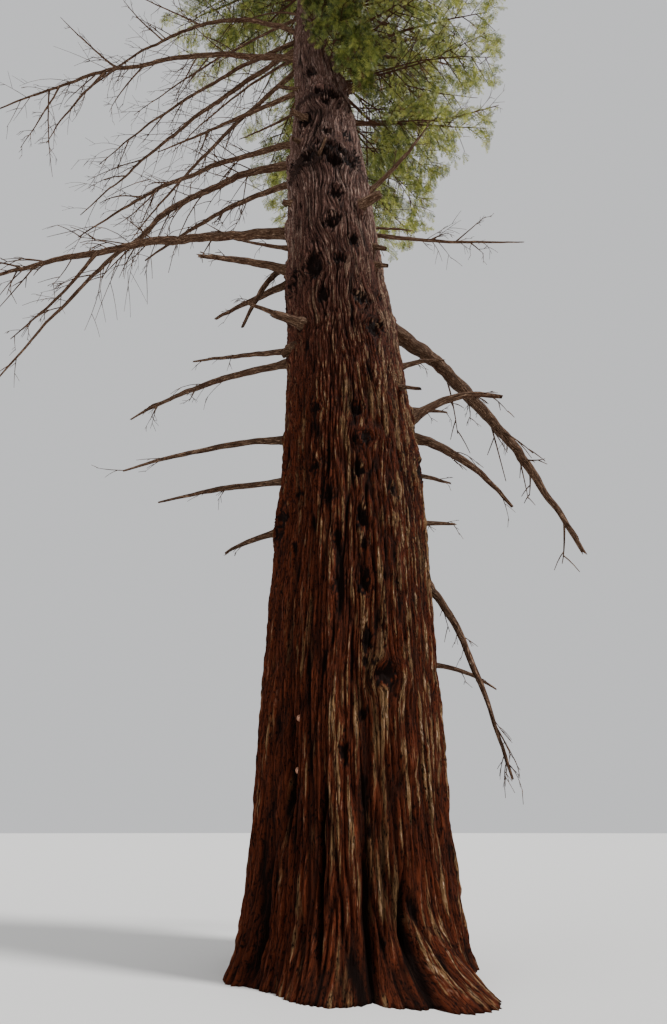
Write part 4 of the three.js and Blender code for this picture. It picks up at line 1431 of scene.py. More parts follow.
def limb_forks():
    """Every fork of the bare limbs: the traced ones, and on each long limb a few seeded ones that
    leave it to one side and sink towards their tips."""
    forks = list(FORKS)
    for number, limb in enumerate(BARE_LIMBS):
        length = limb_length(limb)
        if length < FORKED_FROM:
            continue
        draw = draws("forks", number)
        for _ in range(SEEDED_FORKS):
            share = draw.uniform(*FORK_SEATS)
            slope = limb.rise + (limb.tip_rise - limb.rise) * share
            rise = slope + draw.uniform(*FORK_RISES)
            turn = draw.choice([-1, 1]) * draw.uniform(*FORK_TURNS)
            forks.append(Fork(
                limb.name, share, limb.azimuth + turn, length * draw.uniform(*FORK_LENGTHS), rise,
                rise - draw.uniform(*FORK_SINKS), draw.uniform(*FORK_GIRTHS)))
    return forks


def fork_route(fork, share):
    """Points of a fork: a curve that sets out from its limb on one slope and ends on the other."""
    limb = next(limb for limb in BARE_LIMBS if limb.name == fork.limb)
    root = limb_route(limb, np.array([fork.seat]))[0]
    middle = root + heading_of(fork.azimuth, fork.rise) * fork.length / 2
    end = middle + heading_of(fork.azimuth, fork.tip_rise) * fork.length / 2
    return curved(root, middle, end, np.asarray(share)[:, None])


def fork_shape(fork, number):
    """Wood of one fork, from the middle of its limb to its tip."""
    shares = np.linspace(0, 1, ring_count(fork.length, *FORK_RINGS))
    return wood_shape(
        functools.partial(fork_route, fork), shares, fork.length, fork.thick,
        FORK_TAPER * fork.thick, number)


def dead_offshoots(route, length, thick, thin, twigs, number):
    """Twigs of a bare limb or fork: each leaves it left or right in turn, ahead and aside, curves
    down or up to its tip, and carries finer twigs by the same rule."""
    draw = draws("dead_twigs", number)
    count = max(int(length / sizes().dead_twig_gap * twigs), DEAD_TWIGS_LEAST)
    share = np.sort(draw.uniform(*DEAD_SEATS, count))
    root = route(share)
    ahead = unit(route(share + SHORT_WAY) - route(share - SHORT_WAY))
    aside = unit(np.stack([ahead[:, 1], -ahead[:, 0], 0 * share], -1))
    spread = hands(count)[:, None] * draw.uniform(*DEAD_SPREADS, (count, 1))
    way = unit(ahead + spread * aside + draw.uniform(*DEAD_LIFTS, (count, 1)) * UP)
    reach = offshoot_lengths(length, share, DEAD_LENGTHS, draw)
    ends = DEAD_GIRTH_SHARES[0] * thick, DEAD_GIRTH_SHARES[1] * thin
    girth = np.interp(share, [0, 1], ends) * draw.uniform(*DEAD_GIRTHS_VARY, count)
    girth = np.clip(girth, *DEAD_GIRTH_LIMITS)
    curl = draw.uniform(*DEAD_CURLS, count)
    end = root + way * (DEAD_OUT * reach)[:, None] + UP * (curl * reach)[:, None]
    bend = draw.normal(0, DEAD_BEND, (count, 3)) * reach[:, None]
    middle = root + way * (reach / 2)[:, None] + bend
    shapes = [tapered((root, middle, end), girth, *DEAD_TAPER)]

    seats = draw.uniform(*FINE_SEATS, (count, FINE_PER_TWIG)).ravel()
    owner = np.repeat(np.arange(count), FINE_PER_TWIG)
    foot = curved(root[owner], middle[owner], end[owner], seats[:, None])
    side = np.where(draw.uniform(size=len(owner)) < 0.5, 1.0, -1.0)[:, None]
    heading = unit(end[owner] - root[owner])
    cross = unit(np.cross(heading, UP))
    aim = unit(heading + side * cross * draw.uniform(*FINE_SPREADS, (len(owner), 1))
               + draw.uniform(*FINE_LIFTS, (len(owner), 1)) * UP)
    small = reach[owner] * draw.uniform(*FINE_LENGTHS, len(owner))
    sink = small * draw.uniform(*FINE_SINKS, len(owner))
    tip = foot + aim * small[:, None] - UP * sink[:, None]
    middle = foot + aim * (small / 2)[:, None]
    shapes.append(tapered((foot, middle, tip), girth[owner], *FINE_TAPER, least=FINE_LEAST))
    return Shape.joined(shapes)


def stub_shape(stub, number):
    """Wood of a limb that broke off short: a straight stump from under the bark to a splintered
    end."""
    angle = math.radians(stub.azimuth)
    seat = trunk_point(stub.height, trunk_radius(stub.height, angle), angle)
    aim = heading_of(stub.heading, stub.rise)

    def route(share):
        return seat + np.asarray(share)[:, None] * stub.length * aim

    under = (stub.thick + WAIST) / stub.length
    shares = np.concatenate([[-under, -STUB_INNER_RING * under], STUB_SHARES])
    return wood_shape(route, shares, stub.length, stub.thick, STUB_TAPER * stub.thick, number)


def kept_in_box(shape):
    """The shape with its points held inside the CAD model's box."""
    shape.points = np.clip(shape.points, BOX_LOW + BOX_MARGIN, BOX_HIGH - BOX_MARGIN)
    return shape


class REDWOOD_OT_dead_limbs(bpy.types.Operator):
    """Builds each bare limb with its knobbly, splintered wood."""

    bl_idname = "redwood.dead_limbs"
    bl_label = "Dead Limbs"

    def execute(self, context):
        tone = colours()
        wood = bark_material(
            "dead_wood", tone.dead_dark, tone.dead_red, tone.dead_worn_and_bough_highlight, tone.bark_highlight,
            *DEAD_FIBRES)

        def place(name, shape, nodes):
            make_piece(name, kept_in_box(shape), [wood], nodes)

        for number, limb in enumerate(BARE_LIMBS):
            place(limb.name + "_wood", limb_shape(limb, number), [limb.name])
        slight = [limb_shape(limb, FIRST_SLIGHT + i) for i, limb in enumerate(SLIGHT_LIMBS)]
        slight += [stub_shape(stub, FIRST_STUB + i) for i, stub in enumerate(BROKEN_STUBS)]
        place("slight_limbs", Shape.joined(slight), ["trunk"])
        bare = [limb.name for limb in BARE_LIMBS]
        forks = limb_forks()
        shapes = [fork_shape(fork, FIRST_FORK + i) for i, fork in enumerate(forks)]
        place("dead_forks", Shape.joined(shapes), bare)
        stems = [(functools.partial(limb_route, limb), limb_length(limb), limb.thick, limb.thin,
                  float(np.interp(limb.height, *TWIG_SHARE)))
                 for limb in BARE_LIMBS + SLIGHT_LIMBS]
        stems += [(functools.partial(fork_route, fork), fork.length, fork.thick,
                   FORK_TAPER * fork.thick, 1.0) for fork in forks]
        twigs = [dead_offshoots(*stem, i) for i, stem in enumerate(stems)]
        place("dead_twigs", Shape.joined(twigs), bare)
        return {"FINISHED"}


# Crown


# The solids' stream of random numbers: what a seed and a state are multiplied by, and what is added
SEED_STEP = (7919, 12345)
STATE_STEP = (1664525, 1013904223)
# Stem of a mass: its shelf as a share of the tier's band, its bend in degrees and its reach as a
# share of the crown's, each with what chance adds
STEM_SHELF = (0.46, 0.12)
STEM_BEND = 8
STEM_REACH = (0.9, 0.08)

# A mass's other boughs, with ranges of random draws: stray in the band, drift as a share of it,
# room that the tip keeps to its edges, step round the sector, share of it that they take, stray
# round it, reach as a share of the crown's, bend, girth, bare share
BOUGH_STRAYS = (-0.4, 0.4)
BOUGH_DRIFTS = (-0.35, 0.3)
BOUGH_ROOM = 0.15
GOLDEN_STEP = 0.618
BOUGH_SECTOR = 0.82
BOUGH_TURNS = (-0.06, 0.06)
BOUGH_REACHES = (0.55, 0.8, 0.9, 0.98)
BOUGH_REACH_VARIES = (0.93, 1)
BOUGH_BENDS = (-8, 8)
BOUGH_GIRTHS = (0.5, 0.8)
BOUGH_BARES = (0.7, 1.2)
# Boughs round the tip: room at both ends of their span, reach as a share of the crown's, how much
# shorter the last is, least diameter and what each metre of reach adds, bare share
LEADER_ROOM = 0.1
LEADER_REACHES = (0.7, 0.95)
LEADER_SHORTENS = 0.72
LEADER_GIRTH = (0.008, 0.012)
LEADER_BARE = 0.08
# Sprays up the leading shoot: start below the trunk's tip, what their span has over the shoot's,
# aim upwards, size at the foot and its fall, room under the box's top
LEADER_SPRAY_START = 0.9
LEADER_SPRAY_SPAN = 0.8
LEADER_SPRAY_AIM = (-0.1, 0.35)
LEADER_SPRAY_SIZE = (0.36, 0.22)
LEADER_SPRAY_ROOM = 0.01
STEEPEST = 0.3
# The leading shoot: start below the trunk's tip, rings, sides, radius at the foot and its fall, and
# the height and pace of its wave across and along the view
SHOOT_ROOT = 0.3
LEADER_RINGS = 14
LEADER_SIDES = 7
LEADER_RADIUS = (0.021, 0.017)
WAVE_ACROSS = (0.03, 5)
WAVE_ALONG = (0.02, 7)
# Shoots on the bark: room at the ends of their span, sector, bend, diameter, bare share, drift
SHOOT_ROOM = 0.3
SHOOT_TURNS = (-0.45, 0.45)
SHOOT_BENDS = (-15, 15)
SHOOT_GIRTH = 0.022
SHOOT_BARE = 0.3
SHOOT_DRIFTS = (-0.3, 0.1)

# Wood of a live bough: rings, share at which it starts, waver's cell, height and where it sets in
BOUGH_RINGS = (0.14, 8, 44)
BOUGH_START = 0.02
BOUGH_WAVER_CELL = 0.8
BOUGH_WAVER = 0.012
BOUGH_FREE = (0.05, 0.3)
# Its sides, length of a knob, knobs' height as a share of the radius and step to the next bough's,
# diameter at the tip, swell at the trunk and the share over which that fades
BOUGH_SIDES = 8
BOUGH_KNOB_LENGTH = 0.2
BOUGH_KNOB_SHARE = 0.14
BOUGH_KNOB_STEP = 2.3
BOUGH_TIP = 0.016
BOUGH_SWELL = 0.7
BOUGH_SWELL_FADE = 0.08

# Way on each side of a place over which a route's heading is taken
SHORT_WAY = 0.01
OFFSHOOT_STRAY = 0.1
# Branches, with ranges of random draws: distance off the trunk, last place for the first, fewest,
# place in its part of the bough, lengths, aim aside and up and sag
BRANCH_ROOM = 0.22
BRANCH_LAST = 0.9
BRANCHES_LEAST = 4
BRANCH_SEATS = (0.2, 0.8)
BRANCH_LENGTHS = (0.3, 0.2, (0.75, 1.15), 0.12)
BRANCH_AIMS = ((0.7, 1.5), (-0.2, 0.25), (0.12, 0.3))
# Twigs in the same terms, and the clumps of noise that thin them: the bare share, the clump's size,
# the noise's share and what the place on the bough adds
TWIG_SEAT = 0.6
TWIG_STRAYS = (-0.06, 0.06)
TWIG_LENGTHS = (0.5, 0.28, (0.7, 1.2), 0.06)
TWIG_AIMS = ((0.5, 1.2), (-0.65, 0.15), (0.1, 0.35))
BARE_DRAWS = (0.0, 0.5)
CLUMP_CELL = 0.55
CLUMP_SHARE = 1.4
CLUMP_OUTER = 0.4
# Sprays: first place on the twig, aim aside at the foot, stray, droop, lengths
SPRAY_FIRST = 0.14
SPRAY_ASIDE = 1.25
SPRAY_STRAY = 0.16
SPRAY_DROOPS = (0.05, 0.7)
SPRAY_LENGTHS = (1.1, 0.3, (0.7, 1.15), 0)
# Radius of branches and of twigs, and what each metre of length adds, and their tapers
BRANCH_GIRTH = (0.006, 0.009)
BRANCH_TAPER = (1, 0.4, 5, 4)
TWIG_GIRTH = (0.0035, 0.006)
TWIG_TAPER = (1, 0.5, 3, 3)


def source_draws(seed):
    """The solids' own stream of random numbers: each state is the last one multiplied and added to,
    kept to 32 bits, and a draw is the state over 2^32."""
    state = (seed * SEED_STEP[0] + SEED_STEP[1]) & WORD
    while True:
        state = (state * STATE_STEP[0] + STATE_STEP[1]) & WORD
        yield state / 2**32


@functools.cache
def crown_spaces():
    """The space of each mass, as the solids have it: its tier, sector, shelf, bend and reach."""
    spaces = []
    for tier, floor, ceiling, first, width, masses, bough in TIERS:
        for i in range(masses):
            draw = source_draws(len(spaces) + 1)
            shelf = floor + (ceiling - floor) * (STEM_SHELF[0] + STEM_SHELF[1] * next(draw))
            bend = (next(draw) - 0.5) * STEM_BEND
            reach = reach_at(shelf) * (STEM_REACH[0] + STEM_REACH[1] * next(draw))
            spaces.append({
                "tier": tier, "name": f"{tier}_{i + 1}", "floor": floor, "ceiling": ceiling,
                "azimuth": first + width * i, "width": width, "bough": bough, "shelf": shelf,
                "bend": bend, "reach": reach})
    return [*spaces, TOP_SPACE, SHOOT_SPACE]


def inside_space(space, points):
    """True for points in a mass's space: between its shelves, in its sector, under the crown's
    reach and off the bark."""
    shelf, radius, angle = crown_place(points)
    off = np.abs(turn_between(math.radians(space["azimuth"]), angle))
    return (
        (off < math.radians(space["width"]) / 2)
        & (shelf > space["floor"] - HANGING_ROOM) & (shelf < space["ceiling"])
        & (radius < along(CROWN_REACH, 1, shelf))
        & (radius > bole_at(points[..., 2]) + BARK_MARGIN)
        & (points[..., 2] < BOX_HIGH[2]))


@functools.cache
def limb_guard():
    """Points along the bare limbs, and how near a twig may come to each."""
    shares = np.linspace(0, 1, LIMB_CHECKS)
    centres = np.concatenate([limb_route(limb, shares) for limb in BARE_LIMBS])
    rooms = np.concatenate([
        limb.thick * (1 - shares) / 2 + limb.thin * shares / 2 + LIMB_MARGIN
        for limb in BARE_LIMBS])
    return centres, rooms


def clear_of_limbs(points):
    """True for points that no bare limb is near."""
    centres, rooms = limb_guard()
    clear = np.ones(len(points), bool)
    for centre, room in zip(centres, rooms):
        clear &= ((points - centre) ** 2).sum(-1) > room * room
    return clear


def mass_boughs(space, number):
    """Boughs of a mass: the solid's own stem, and others that leave the trunk round it, each on a
    shelf and a heading of its own, from which it drifts to another shelf by its tip."""
    draw = draws("boughs", number)
    floor, ceiling, width = space["floor"], space["ceiling"], space["width"]
    boughs = [Bough(
        space["shelf"], space["azimuth"], space["bend"], space["reach"] * STEM_END,
        space["reach"] * BOUGH_GIRTH, space["bough"], 0.0)]
    band = ceiling - floor
    count = sizes().boughs_per_mass
    for i in range(1, count):
        shelf = floor + band * (i - 0.5 + draw.uniform(*BOUGH_STRAYS)) / (count - 1)
        tip_shelf = np.clip(
            shelf + band * draw.uniform(*BOUGH_DRIFTS), floor + BOUGH_ROOM, ceiling - BOUGH_ROOM)
        across = ((i * GOLDEN_STEP) % 1 - 0.5) * BOUGH_SECTOR + draw.uniform(*BOUGH_TURNS)
        reach = reach_at(tip_shelf) * draw.choice(BOUGH_REACHES)
        reach = reach * draw.uniform(*BOUGH_REACH_VARIES)
        boughs.append(Bough(
            shelf, space["azimuth"] + width * across, draw.uniform(*BOUGH_BENDS), reach,
            reach * BOUGH_GIRTH * draw.uniform(*BOUGH_GIRTHS),
            space["bough"] * draw.uniform(*BOUGH_BARES), tip_shelf - shelf))
    return boughs


def leader_boughs():
    """Short boughs that climb round the tip of the trunk, a golden turn apart."""
    draw = draws("leader")
    boughs = []
    shelves = np.linspace(
        TOP_SPACE["floor"] + LEADER_ROOM, TRUNK_TOP - LEADER_ROOM, LEADER_BOUGHS)
    for i, shelf in enumerate(shelves):
        shorter = 1 - LEADER_SHORTENS * i / LEADER_BOUGHS
        reach = reach_at(shelf) * draw.uniform(*LEADER_REACHES) * shorter
        boughs.append(Bough(
            shelf, GOLDEN_TURN * i, draw.uniform(*BOUGH_BENDS), reach,
            LEADER_GIRTH[0] + reach * LEADER_GIRTH[1], LEADER_BARE, 0.0))
    return boughs


def leader_sprays():
    """Seats, aims and sizes of the short sprays up the leading shoot, a golden turn apart."""
    way = np.arange(LEADER_SPRAYS) / (LEADER_SPRAYS - 1)
    span = LEADER_TIP - TRUNK_TOP + LEADER_SPRAY_SPAN
    height = TRUNK_TOP - LEADER_SPRAY_START + way * span
    turn = np.radians(GOLDEN_TURN) * np.arange(LEADER_SPRAYS)
    seat = np.stack([lean_at(height), 0 * height, height], -1)
    rise = LEADER_SPRAY_AIM[1] * way + LEADER_SPRAY_AIM[0]
    aim = unit(np.stack([np.cos(turn), np.sin(turn), rise], -1))
    size = LEADER_SPRAY_SIZE[0] - LEADER_SPRAY_SIZE[1] * way
    size = size * sizes().spray_length / SPRAY_LENGTH
    room = BOX_HIGH[2] - LEADER_SPRAY_ROOM - height
    size = np.minimum(size, room / np.maximum(aim[:, 2], STEEPEST))
    return {"seat": seat, "aim": aim, "size": size, "light": np.ones(LEADER_SPRAYS)}


def shoot_boughs():
    """Short leafy shoots that break from the bark high on the trunk's front and right."""
    draw = draws("shoots")
    foot = SHOOT_SPACE["floor"] + SHOOT_ROOM
    span = SHOOT_SPACE["ceiling"] - SHOOT_SPACE["floor"] - 2 * SHOOT_ROOM
    boughs = []
    for i in range(SHOOTS):
        shelf = foot + span * i / SHOOTS
        azimuth = SHOOT_SPACE["azimuth"] + SHOOT_SPACE["width"] * draw.uniform(*SHOOT_TURNS)
        bark = float(bole_at(np.array(shelf)))
        boughs.append(Bough(
            shelf, azimuth, draw.uniform(*SHOOT_BENDS), bark + draw.uniform(*SHOOT_REACH),
            SHOOT_GIRTH, SHOOT_BARE, draw.uniform(*SHOOT_DRIFTS)))
    return boughs


def bough_points(bough, share):
    """Points of a bough: out along its shelf, which drifts and swings with the square of the
    share."""
    turned = np.radians(bough.azimuth + bough.bend * share**2)
    return shelf_point(bough.shelf + bough.drift * share**2, bough.reach * share, turned)


def bough_shape(bough, number):
    """One live bough: the shelf's curve, tapering to its tip, with knobs and a slight waver."""
    reach = bough.reach
    shares = np.linspace(BOUGH_START, 1, ring_count(reach, *BOUGH_RINGS))
    seats = seats_along(shares, reach, BOUGH_WAVER_CELL, number)
    free = smooth_step(shares, *BOUGH_FREE)[:, None] * BOUGH_WAVER * reach
    path = bough_points(bough, shares) + free * noises(seats + MIDDLE, SEEDS["bough_waver"])
    turn = round_turn(BOUGH_SIDES)
    skin = np.stack(np.broadcast_arrays(
        np.cos(turn), np.sin(turn), (shares * reach / BOUGH_KNOB_LENGTH)[:, None]), -1)
    knobs = noise(skin + number * BOUGH_KNOB_STEP, SEEDS["bough_knobs"])
    taper = np.interp(shares, [0, 1], [bough.girth, BOUGH_TIP])
    taper = taper * (1 + BOUGH_SWELL * np.exp(-shares / BOUGH_SWELL_FADE))
    radii = taper[:, None] / 2 * (1 + BOUGH_KNOB_SHARE * knobs)
    return tubes(path[None], radii[None], BOUGH_SIDES)


def leader_shape():
    """The shoot that carries the trunk's axis on from its tip to the top of the tree, with a slight
    wave in it."""
    height = np.linspace(TRUNK_TOP - SHOOT_ROOT, LEADER_TIP, LEADER_RINGS)
    way = (height - height[0]) / (height[-1] - height[0])
    across = WAVE_ACROSS[0] * np.sin(WAVE_ACROSS[1] * way) * way
    depth = WAVE_ALONG[0] * np.sin(WAVE_ALONG[1] * way)
    path = np.stack([lean_at(height) + across, depth, height], -1)
    radii = LEADER_RADIUS[0] - LEADER_RADIUS[1] * way
    return tubes(path[None], radii[None, :, None], LEADER_SIDES)


def offshoots(parent_at, heading, lengths, turned, aims, draw):
    """Curved shoots from points on their parents, as root, middle and end: each aims along its
    parent's heading plus spread aside plus lift, and its end sinks by sag times its length. Aims
    are the ranges of the three."""
    count = len(parent_at)
    spread, lift, sag = (draw.uniform(*aim, count) for aim in aims)
    aside = unit(np.cross(heading, UP))
    aim = unit(heading + aside * (turned * spread)[:, None] + lift[:, None] * UP
               + draw.normal(0, OFFSHOOT_STRAY, (count, 3)))
    middle = parent_at + aim * (lengths / 2)[:, None]
    end = parent_at + aim * lengths[:, None] - UP * (sag * lengths)[:, None]
    return parent_at, middle, end


def on_curve(curve, owner, t):
    """Points and headings at t on the curves that the owners' numbers name."""
    root, middle, end = (part[owner] for part in curve)
    t = t[:, None]
    heading = unit(2 * (1 - t) * (middle - root) + 2 * t * (end - middle))
    return curved(root, middle, end, t), heading


def kept(curve, mask):
    """The curves that the mask names."""
    return tuple(part[mask] for part in curve)


def grown_branches(space, boughs, draw):
    """Branches of a mass's boughs, their lengths and their places along the boughs. They leave each
    bough left and right in turn."""
    parts = []
    for bough in boughs:
        bole = bole_at(np.array(bough.shelf))
        first = max(bough.bare, float(bole + BRANCH_ROOM) / bough.reach)
        if first > BRANCH_LAST:
            continue
        gap = SHOOT_BRANCH_GAP if space is SHOOT_SPACE else BRANCH_GAP
        count = int(max(bough.reach * (1 - first) / gap, BRANCHES_LEAST))
        place = np.arange(count) + draw.uniform(*BRANCH_SEATS, count)
        share = first + (1 - first) * place / count
        ahead = bough_points(bough, share + SHORT_WAY) - bough_points(bough, share - SHORT_WAY)
        length = offshoot_lengths(bough.reach, share, BRANCH_LENGTHS, draw)
        parts.append((bough_points(bough, share), unit(ahead), length, hands(count), share))
    seat, ahead, length, hand, outer = (np.concatenate(part) for part in zip(*parts))
    branch = offshoots(seat, ahead, length, hand, BRANCH_AIMS, draw)
    good = inside_space(space, branch[2]) & clear_of_limbs(branch[2])
    return kept(branch, good), length[good], outer[good]


def grown_twigs(space, branch, length, outer, draw):
    """Twigs of the branches and their lengths. They leave each branch left and right in turn, in
    clumps that a noise makes, and the more of them the farther out on its bough the branch is."""
    owner = np.repeat(np.arange(len(length)), TWIGS_PER_BRANCH)
    t = np.tile((np.arange(TWIGS_PER_BRANCH) + TWIG_SEAT) / TWIGS_PER_BRANCH, len(length))
    t = np.clip(t + draw.uniform(*TWIG_STRAYS, len(t)), 0, 1)
    seat, ahead = on_curve(branch, owner, t)
    reach = offshoot_lengths(length[owner], t, TWIG_LENGTHS, draw)
    twig = offshoots(seat, ahead, reach, hands(len(t)), TWIG_AIMS, draw)
    bare = draw.uniform(*BARE_DRAWS, len(t)) - DENSER * (space["floor"] > SEEN_FROM_BELOW)
    clump = CLUMP_SHARE * noise(twig[2] / CLUMP_CELL, SEEDS["clumps"])
    clumped = clump + CLUMP_OUTER * outer[owner] > bare
    good = inside_space(space, twig[2]) & clear_of_limbs(twig[2]) & clumped
    return kept(twig, good), reach[good]


def grown_sprays(space, twig, draw):
    """Sprays of the twigs: seat, aim, size, and how far out in the crown each is."""
    count = len(twig[0])
    holder = np.repeat(np.arange(count), SPRAYS_PER_TWIG)
    t = np.tile(np.linspace(SPRAY_FIRST, 1, SPRAYS_PER_TWIG), count)
    seat, ahead = on_curve(twig, holder, t)
    turned = np.tile(hands(SPRAYS_PER_TWIG), count) * (SPRAY_ASIDE - t)
    aside = unit(np.cross(ahead, UP))
    aim = unit(ahead + aside * turned[:, None] + draw.normal(0, SPRAY_STRAY, (len(t), 3))
               - UP * draw.uniform(*SPRAY_DROOPS, (len(t), 1)))
    size = offshoot_lengths(sizes().spray_length, t, SPRAY_LENGTHS, draw)
    tip = seat + aim * size[:, None]
    good = inside_space(space, tip) & clear_of_limbs((seat + tip) / 2)
    shelf, radius, _ = crown_place(seat)
    light = radius / along(CROWN_REACH, 1, shelf)
    return {"seat": seat[good], "aim": aim[good], "size": size[good], "light": light[good]}


def grow_mass(space, number):
    """Branches, twigs and sprays of one mass. What would leave the mass's space or touch a bare
    limb is skipped."""
    draw = draws("crown", number)
    if space is TOP_SPACE:
        boughs = leader_boughs()
    elif space is SHOOT_SPACE:
        boughs = shoot_boughs()
    else:
        boughs = mass_boughs(space, number)
    branch, length, outer = grown_branches(space, boughs, draw)
    twig, reach = grown_twigs(space, branch, length, outer, draw)
    sprays = grown_sprays(space, twig, draw)
    if space is TOP_SPACE:
        more = leader_sprays()
        sprays = {key: np.concatenate([sprays[key], more[key]]) for key in sprays}
    return {"boughs": boughs, "branch": branch, "branch_length": length, "twig": twig,
            "twig_length": reach, "sprays": sprays}


@functools.cache
def grown_crown():
    """Every mass of the crown, grown once."""
    return [grow_mass(space, i) for i, space in enumerate(crown_spaces())]


def crown_tiers():
    """Names of the tiers from the bottom up, with the nodes of their foliage and of their bare
    boughs."""
    tiers = []
    for tier, *_, bare in TIERS:
        names = [space["name"] for space in crown_spaces() if space["tier"] == tier]
        boughs = [f"bough_{name}" for name in names] if bare > 0 else []
        tiers.append((tier, [f"foliage_{name}" for name in names], boughs))
    tiers.append(("top", ["foliage_top"], []))
    tiers.append(("shoots", ["foliage_low_1", "foliage_open_1"], []))
    return tiers


def tier_masses(tier):
    """The grown masses of one tier."""
    return [mass for space, mass in zip(crown_spaces(), grown_crown()) if space["tier"] == tier]


def live_bark(name, fibres):
    """Bark of boughs and twigs."""
    tone = colours()
    return bark_material(
        name, tone.bough_dark, tone.bough_pale, tone.dead_red, tone.dead_worn_and_bough_highlight, *fibres)


class REDWOOD_OT_boughs(bpy.types.Operator):
    """Builds the live boughs of each tier, from the trunk to their tips."""

    bl_idname = "redwood.boughs"
    bl_label = "Live Boughs"

    def execute(self, context):
        bark = live_bark("bough_bark", BOUGH_FIBRES)
        for tier, foliage, bare in crown_tiers():
            boughs = [bough for mass in tier_masses(tier) for bough in mass["boughs"]]
            shapes = [bough_shape(bough, i) for i, bough in enumerate(boughs)]
            if tier == "top":
                shapes.append(leader_shape())
            make_piece(
                f"boughs_{tier}", Shape.joined(shapes), [bark], foliage + bare)
        return {"FINISHED"}


class REDWOOD_OT_crown_twigs(bpy.types.Operator):
    """Builds the branches and twigs that carry the sprays, one mesh for each tier."""

    bl_idname = "redwood.crown_twigs"
    bl_label = "Crown Twigs"

    def execute(self, context):
        bark = live_bark("twig_bark", TWIG_FIBRES)
        for tier, foliage, _ in crown_tiers():
            shapes = []
            for mass in tier_masses(tier):
                girth = BRANCH_GIRTH[0] + BRANCH_GIRTH[1] * mass["branch_length"]
                shapes.append(tapered(mass["branch"], girth, *BRANCH_TAPER))
                girth = TWIG_GIRTH[0] + TWIG_GIRTH[1] * mass["twig_length"]
                shapes.append(tapered(mass["twig"], girth, *TWIG_TAPER))
            make_piece(
                f"twigs_{tier}", kept_in_box(Shape.joined(shapes)), [bark], foliage)
        return {"FINISHED"}


# Leaflets of a spray: share of the way along it where each starts, and its size
LEAFLETS = [(0.06, 0.85), (0.28, 1.0), (0.5, 0.92), (0.7, 0.7)]
LEAFLET_FOOT = 0.12
LEAFLET_OUT = 0.3
LEAFLET_AHEAD = 0.24
END_LEAFLET = [(0.8, -0.045), (1.0, 0), (0.8, 0.045)]
SPRAY_KEEL = 0.3
SPRAY_DROOP = 0.16
SPRAY_ROLL = 0.35
# A spray's tone: shares of chance and of how far out in the crown it is, levels at which the next
# tone begins, and the share of withered sprays. Sprays far out are lighter, partly as fresh growth
# and partly as painted light, and those inside darker as painted shade
NEEDLE_TONES = ("deep", "green", "olive", "fresh", "brown")
TONE_BY_CHANCE = 0.75
TONE_BY_PLACE = 0.45
TONE_LEVELS = [0.38, 0.7, 0.96]
WITHERED = 0.02


def spray_pattern():
    """One spray, a unit long: pairs of pointed leaflets off a straight stalk and one at its end.
    Each is a triangle, and the whole sinks with the square of the way along and with the way
    across."""
    corners = []
    for start, size in LEAFLETS:
        for hand in (1, -1):
            tip = (start + LEAFLET_FOOT / 2 + LEAFLET_AHEAD * size, hand * LEAFLET_OUT * size)
            foot = [(start, 0), (start + LEAFLET_FOOT, 0)]
            corners += [*foot[::hand], tip]
    flat = np.array(corners + END_LEAFLET)
    sunk = -SPRAY_DROOP * flat[:, 0] ** 2 - SPRAY_KEEL * np.abs(flat[:, 1])
    return np.column_stack([flat, sunk])


def needle_shape(sprays, draw):
    """The pattern set at each seat: its first axis along the aim, its second aside with a random
    roll, its third up, and scaled to the spray's size. Its tone comes from how far out in the crown
    it is, and chance: lighter outside, partly as painted light, and darker inside as painted shade."""
    seat, aim, size = sprays["seat"], sprays["aim"], sprays["size"]
    count = len(seat)
    flat = unit(np.cross(aim, UP) + draw.normal(0, SPRAY_ROLL, (count, 3)))
    up = unit(np.cross(flat, aim))
    axes = np.stack([aim, np.cross(aim, up), up], 1) * size[:, None, None]
    pattern = spray_pattern()
    points = seat[:, None] + np.einsum("pk,nkx->npx", pattern, axes)
    faces = np.arange(count * len(pattern)).reshape(-1, 3)
    level = draw.uniform(size=count) * TONE_BY_CHANCE + TONE_BY_PLACE * sprays["light"]
    withered = draw.uniform(size=count) < WITHERED
    tone = np.where(withered, NEEDLE_TONES.index("brown"), np.digitize(level, TONE_LEVELS))
    tones = np.repeat(tone, len(pattern) // 3)
    return Shape(points.reshape(-1, 3), [faces], tones=tones)


class REDWOOD_OT_needles(bpy.types.Operator):
    """Builds the needle sprays, one mesh for each tier, in plain colours dealt out by spray."""

    bl_idname = "redwood.needles"
    bl_label = "Needle Sprays"

    def execute(self, context):
        greens = [
            needle_material("needles_" + name, getattr(colours(), "needle_" + name))
            for name in NEEDLE_TONES]
        for number, (tier, foliage, _) in enumerate(crown_tiers()):
            masses = [mass["sprays"] for mass in tier_masses(tier)]
            sprays = {key: np.concatenate([m[key] for m in masses]) for key in masses[0]}
            shape = needle_shape(sprays, draws("needles", number))
            make_piece(f"needles_{tier}", kept_in_box(shape), greens, foliage)
        return {"FINISHED"}


# Stage


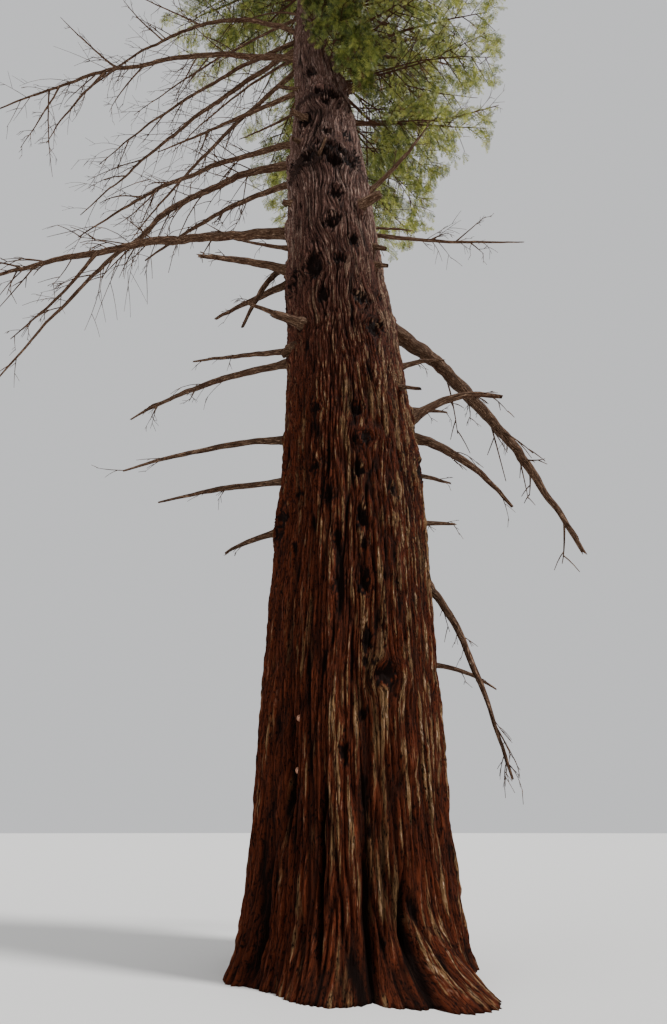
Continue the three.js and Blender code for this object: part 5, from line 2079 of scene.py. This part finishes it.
class REDWOOD_OT_stage(bpy.types.Operator):
    """Sets the camera at the photograph's viewing angle, a pale floor and soft studio light."""

    bl_idname = "redwood.stage"
    bl_label = "Stage"

    def execute(self, context):
        lens = bpy.data.cameras.new("camera")
        lens.lens = CAMERA_LENS
        lens.clip_end = CAMERA_SIGHT
        camera = bpy.data.objects.new("camera", lens)
        camera.location = CAMERA_PLACE
        camera.rotation_euler = (math.radians(90 + CAMERA_PITCH), 0, 0)
        context.scene.collection.objects.link(camera)
        context.scene.camera = camera

        turn = round_turn(FLOOR_SIDES)
        rim = FLOOR_RADIUS * np.stack([np.cos(turn), np.sin(turn), 0 * turn], -1)
        mesh = bpy.data.meshes.new("floor")
        mesh.from_pydata(rim.tolist(), [], [list(range(len(rim)))])
        floor = bpy.data.objects.new("floor", mesh)
        context.scene.collection.objects.link(floor)
        material, shader, _ = new_material("pale_floor")
        shader.inputs["Base Color"].default_value = rgba(colours().floor)
        shader.inputs["Roughness"].default_value = FLOOR_ROUGHNESS
        mesh.materials.append(material)

        for name, azimuth, height, strength, spread in LIGHTS:
            lamp = bpy.data.lights.new(name, "SUN")
            lamp.energy = strength
            lamp.angle = math.radians(spread)
            light = bpy.data.objects.new(name, lamp)
            light.rotation_euler = (math.radians(90 - height), 0, math.radians(azimuth + 90))
            context.scene.collection.objects.link(light)

        world = bpy.data.worlds.new("pale_sky")
        world.use_nodes = True
        sky = world.node_tree.nodes["Background"]
        sky.inputs["Color"].default_value = rgba(SKY_COLOUR)
        sky.inputs["Strength"].default_value = SKY_STRENGTH
        context.scene.world = world
        return {"FINISHED"}


class REDWOOD_PT_panel(bpy.types.Panel):
    """Lists the tree's sizes, colours and building steps."""

    bl_label = "Redwood"
    bl_idname = "REDWOOD_PT_panel"
    bl_space_type = "VIEW_3D"
    bl_region_type = "UI"
    bl_category = "Redwood"

    def draw(self, context):
        for group in (context.scene.redwood_sizes, context.scene.redwood_colours):
            for name in group.__annotations__:
                self.layout.prop(group, name)
        for step in STEPS:
            self.layout.operator(step.bl_idname)


STEPS = (
    REDWOOD_OT_stage, REDWOOD_OT_trunk, REDWOOD_OT_scars, REDWOOD_OT_dead_limbs,
    REDWOOD_OT_boughs, REDWOOD_OT_crown_twigs, REDWOOD_OT_needles,
)
CLASSES = (RedwoodSizes, RedwoodColours, *STEPS, REDWOOD_PT_panel)


def register():
    """Registers the classes and hangs the sizes and colours on the scene."""
    for cls in CLASSES:
        bpy.utils.register_class(cls)
    bpy.types.Scene.redwood_sizes = bpy.props.PointerProperty(type=RedwoodSizes)
    bpy.types.Scene.redwood_colours = bpy.props.PointerProperty(type=RedwoodColours)


def unregister():
    """Takes back what register did, in reverse."""
    del bpy.types.Scene.redwood_colours
    del bpy.types.Scene.redwood_sizes
    for cls in reversed(CLASSES):
        bpy.utils.unregister_class(cls)


def main():
    """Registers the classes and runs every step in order."""
    register()
    bpy.ops.redwood.stage()
    bpy.ops.redwood.trunk()
    bpy.ops.redwood.scars()
    bpy.ops.redwood.dead_limbs()
    bpy.ops.redwood.boughs()
    bpy.ops.redwood.crown_twigs()
    bpy.ops.redwood.needles()
    bpy.context.view_layer.update()


if __name__ == "__main__":
    main()
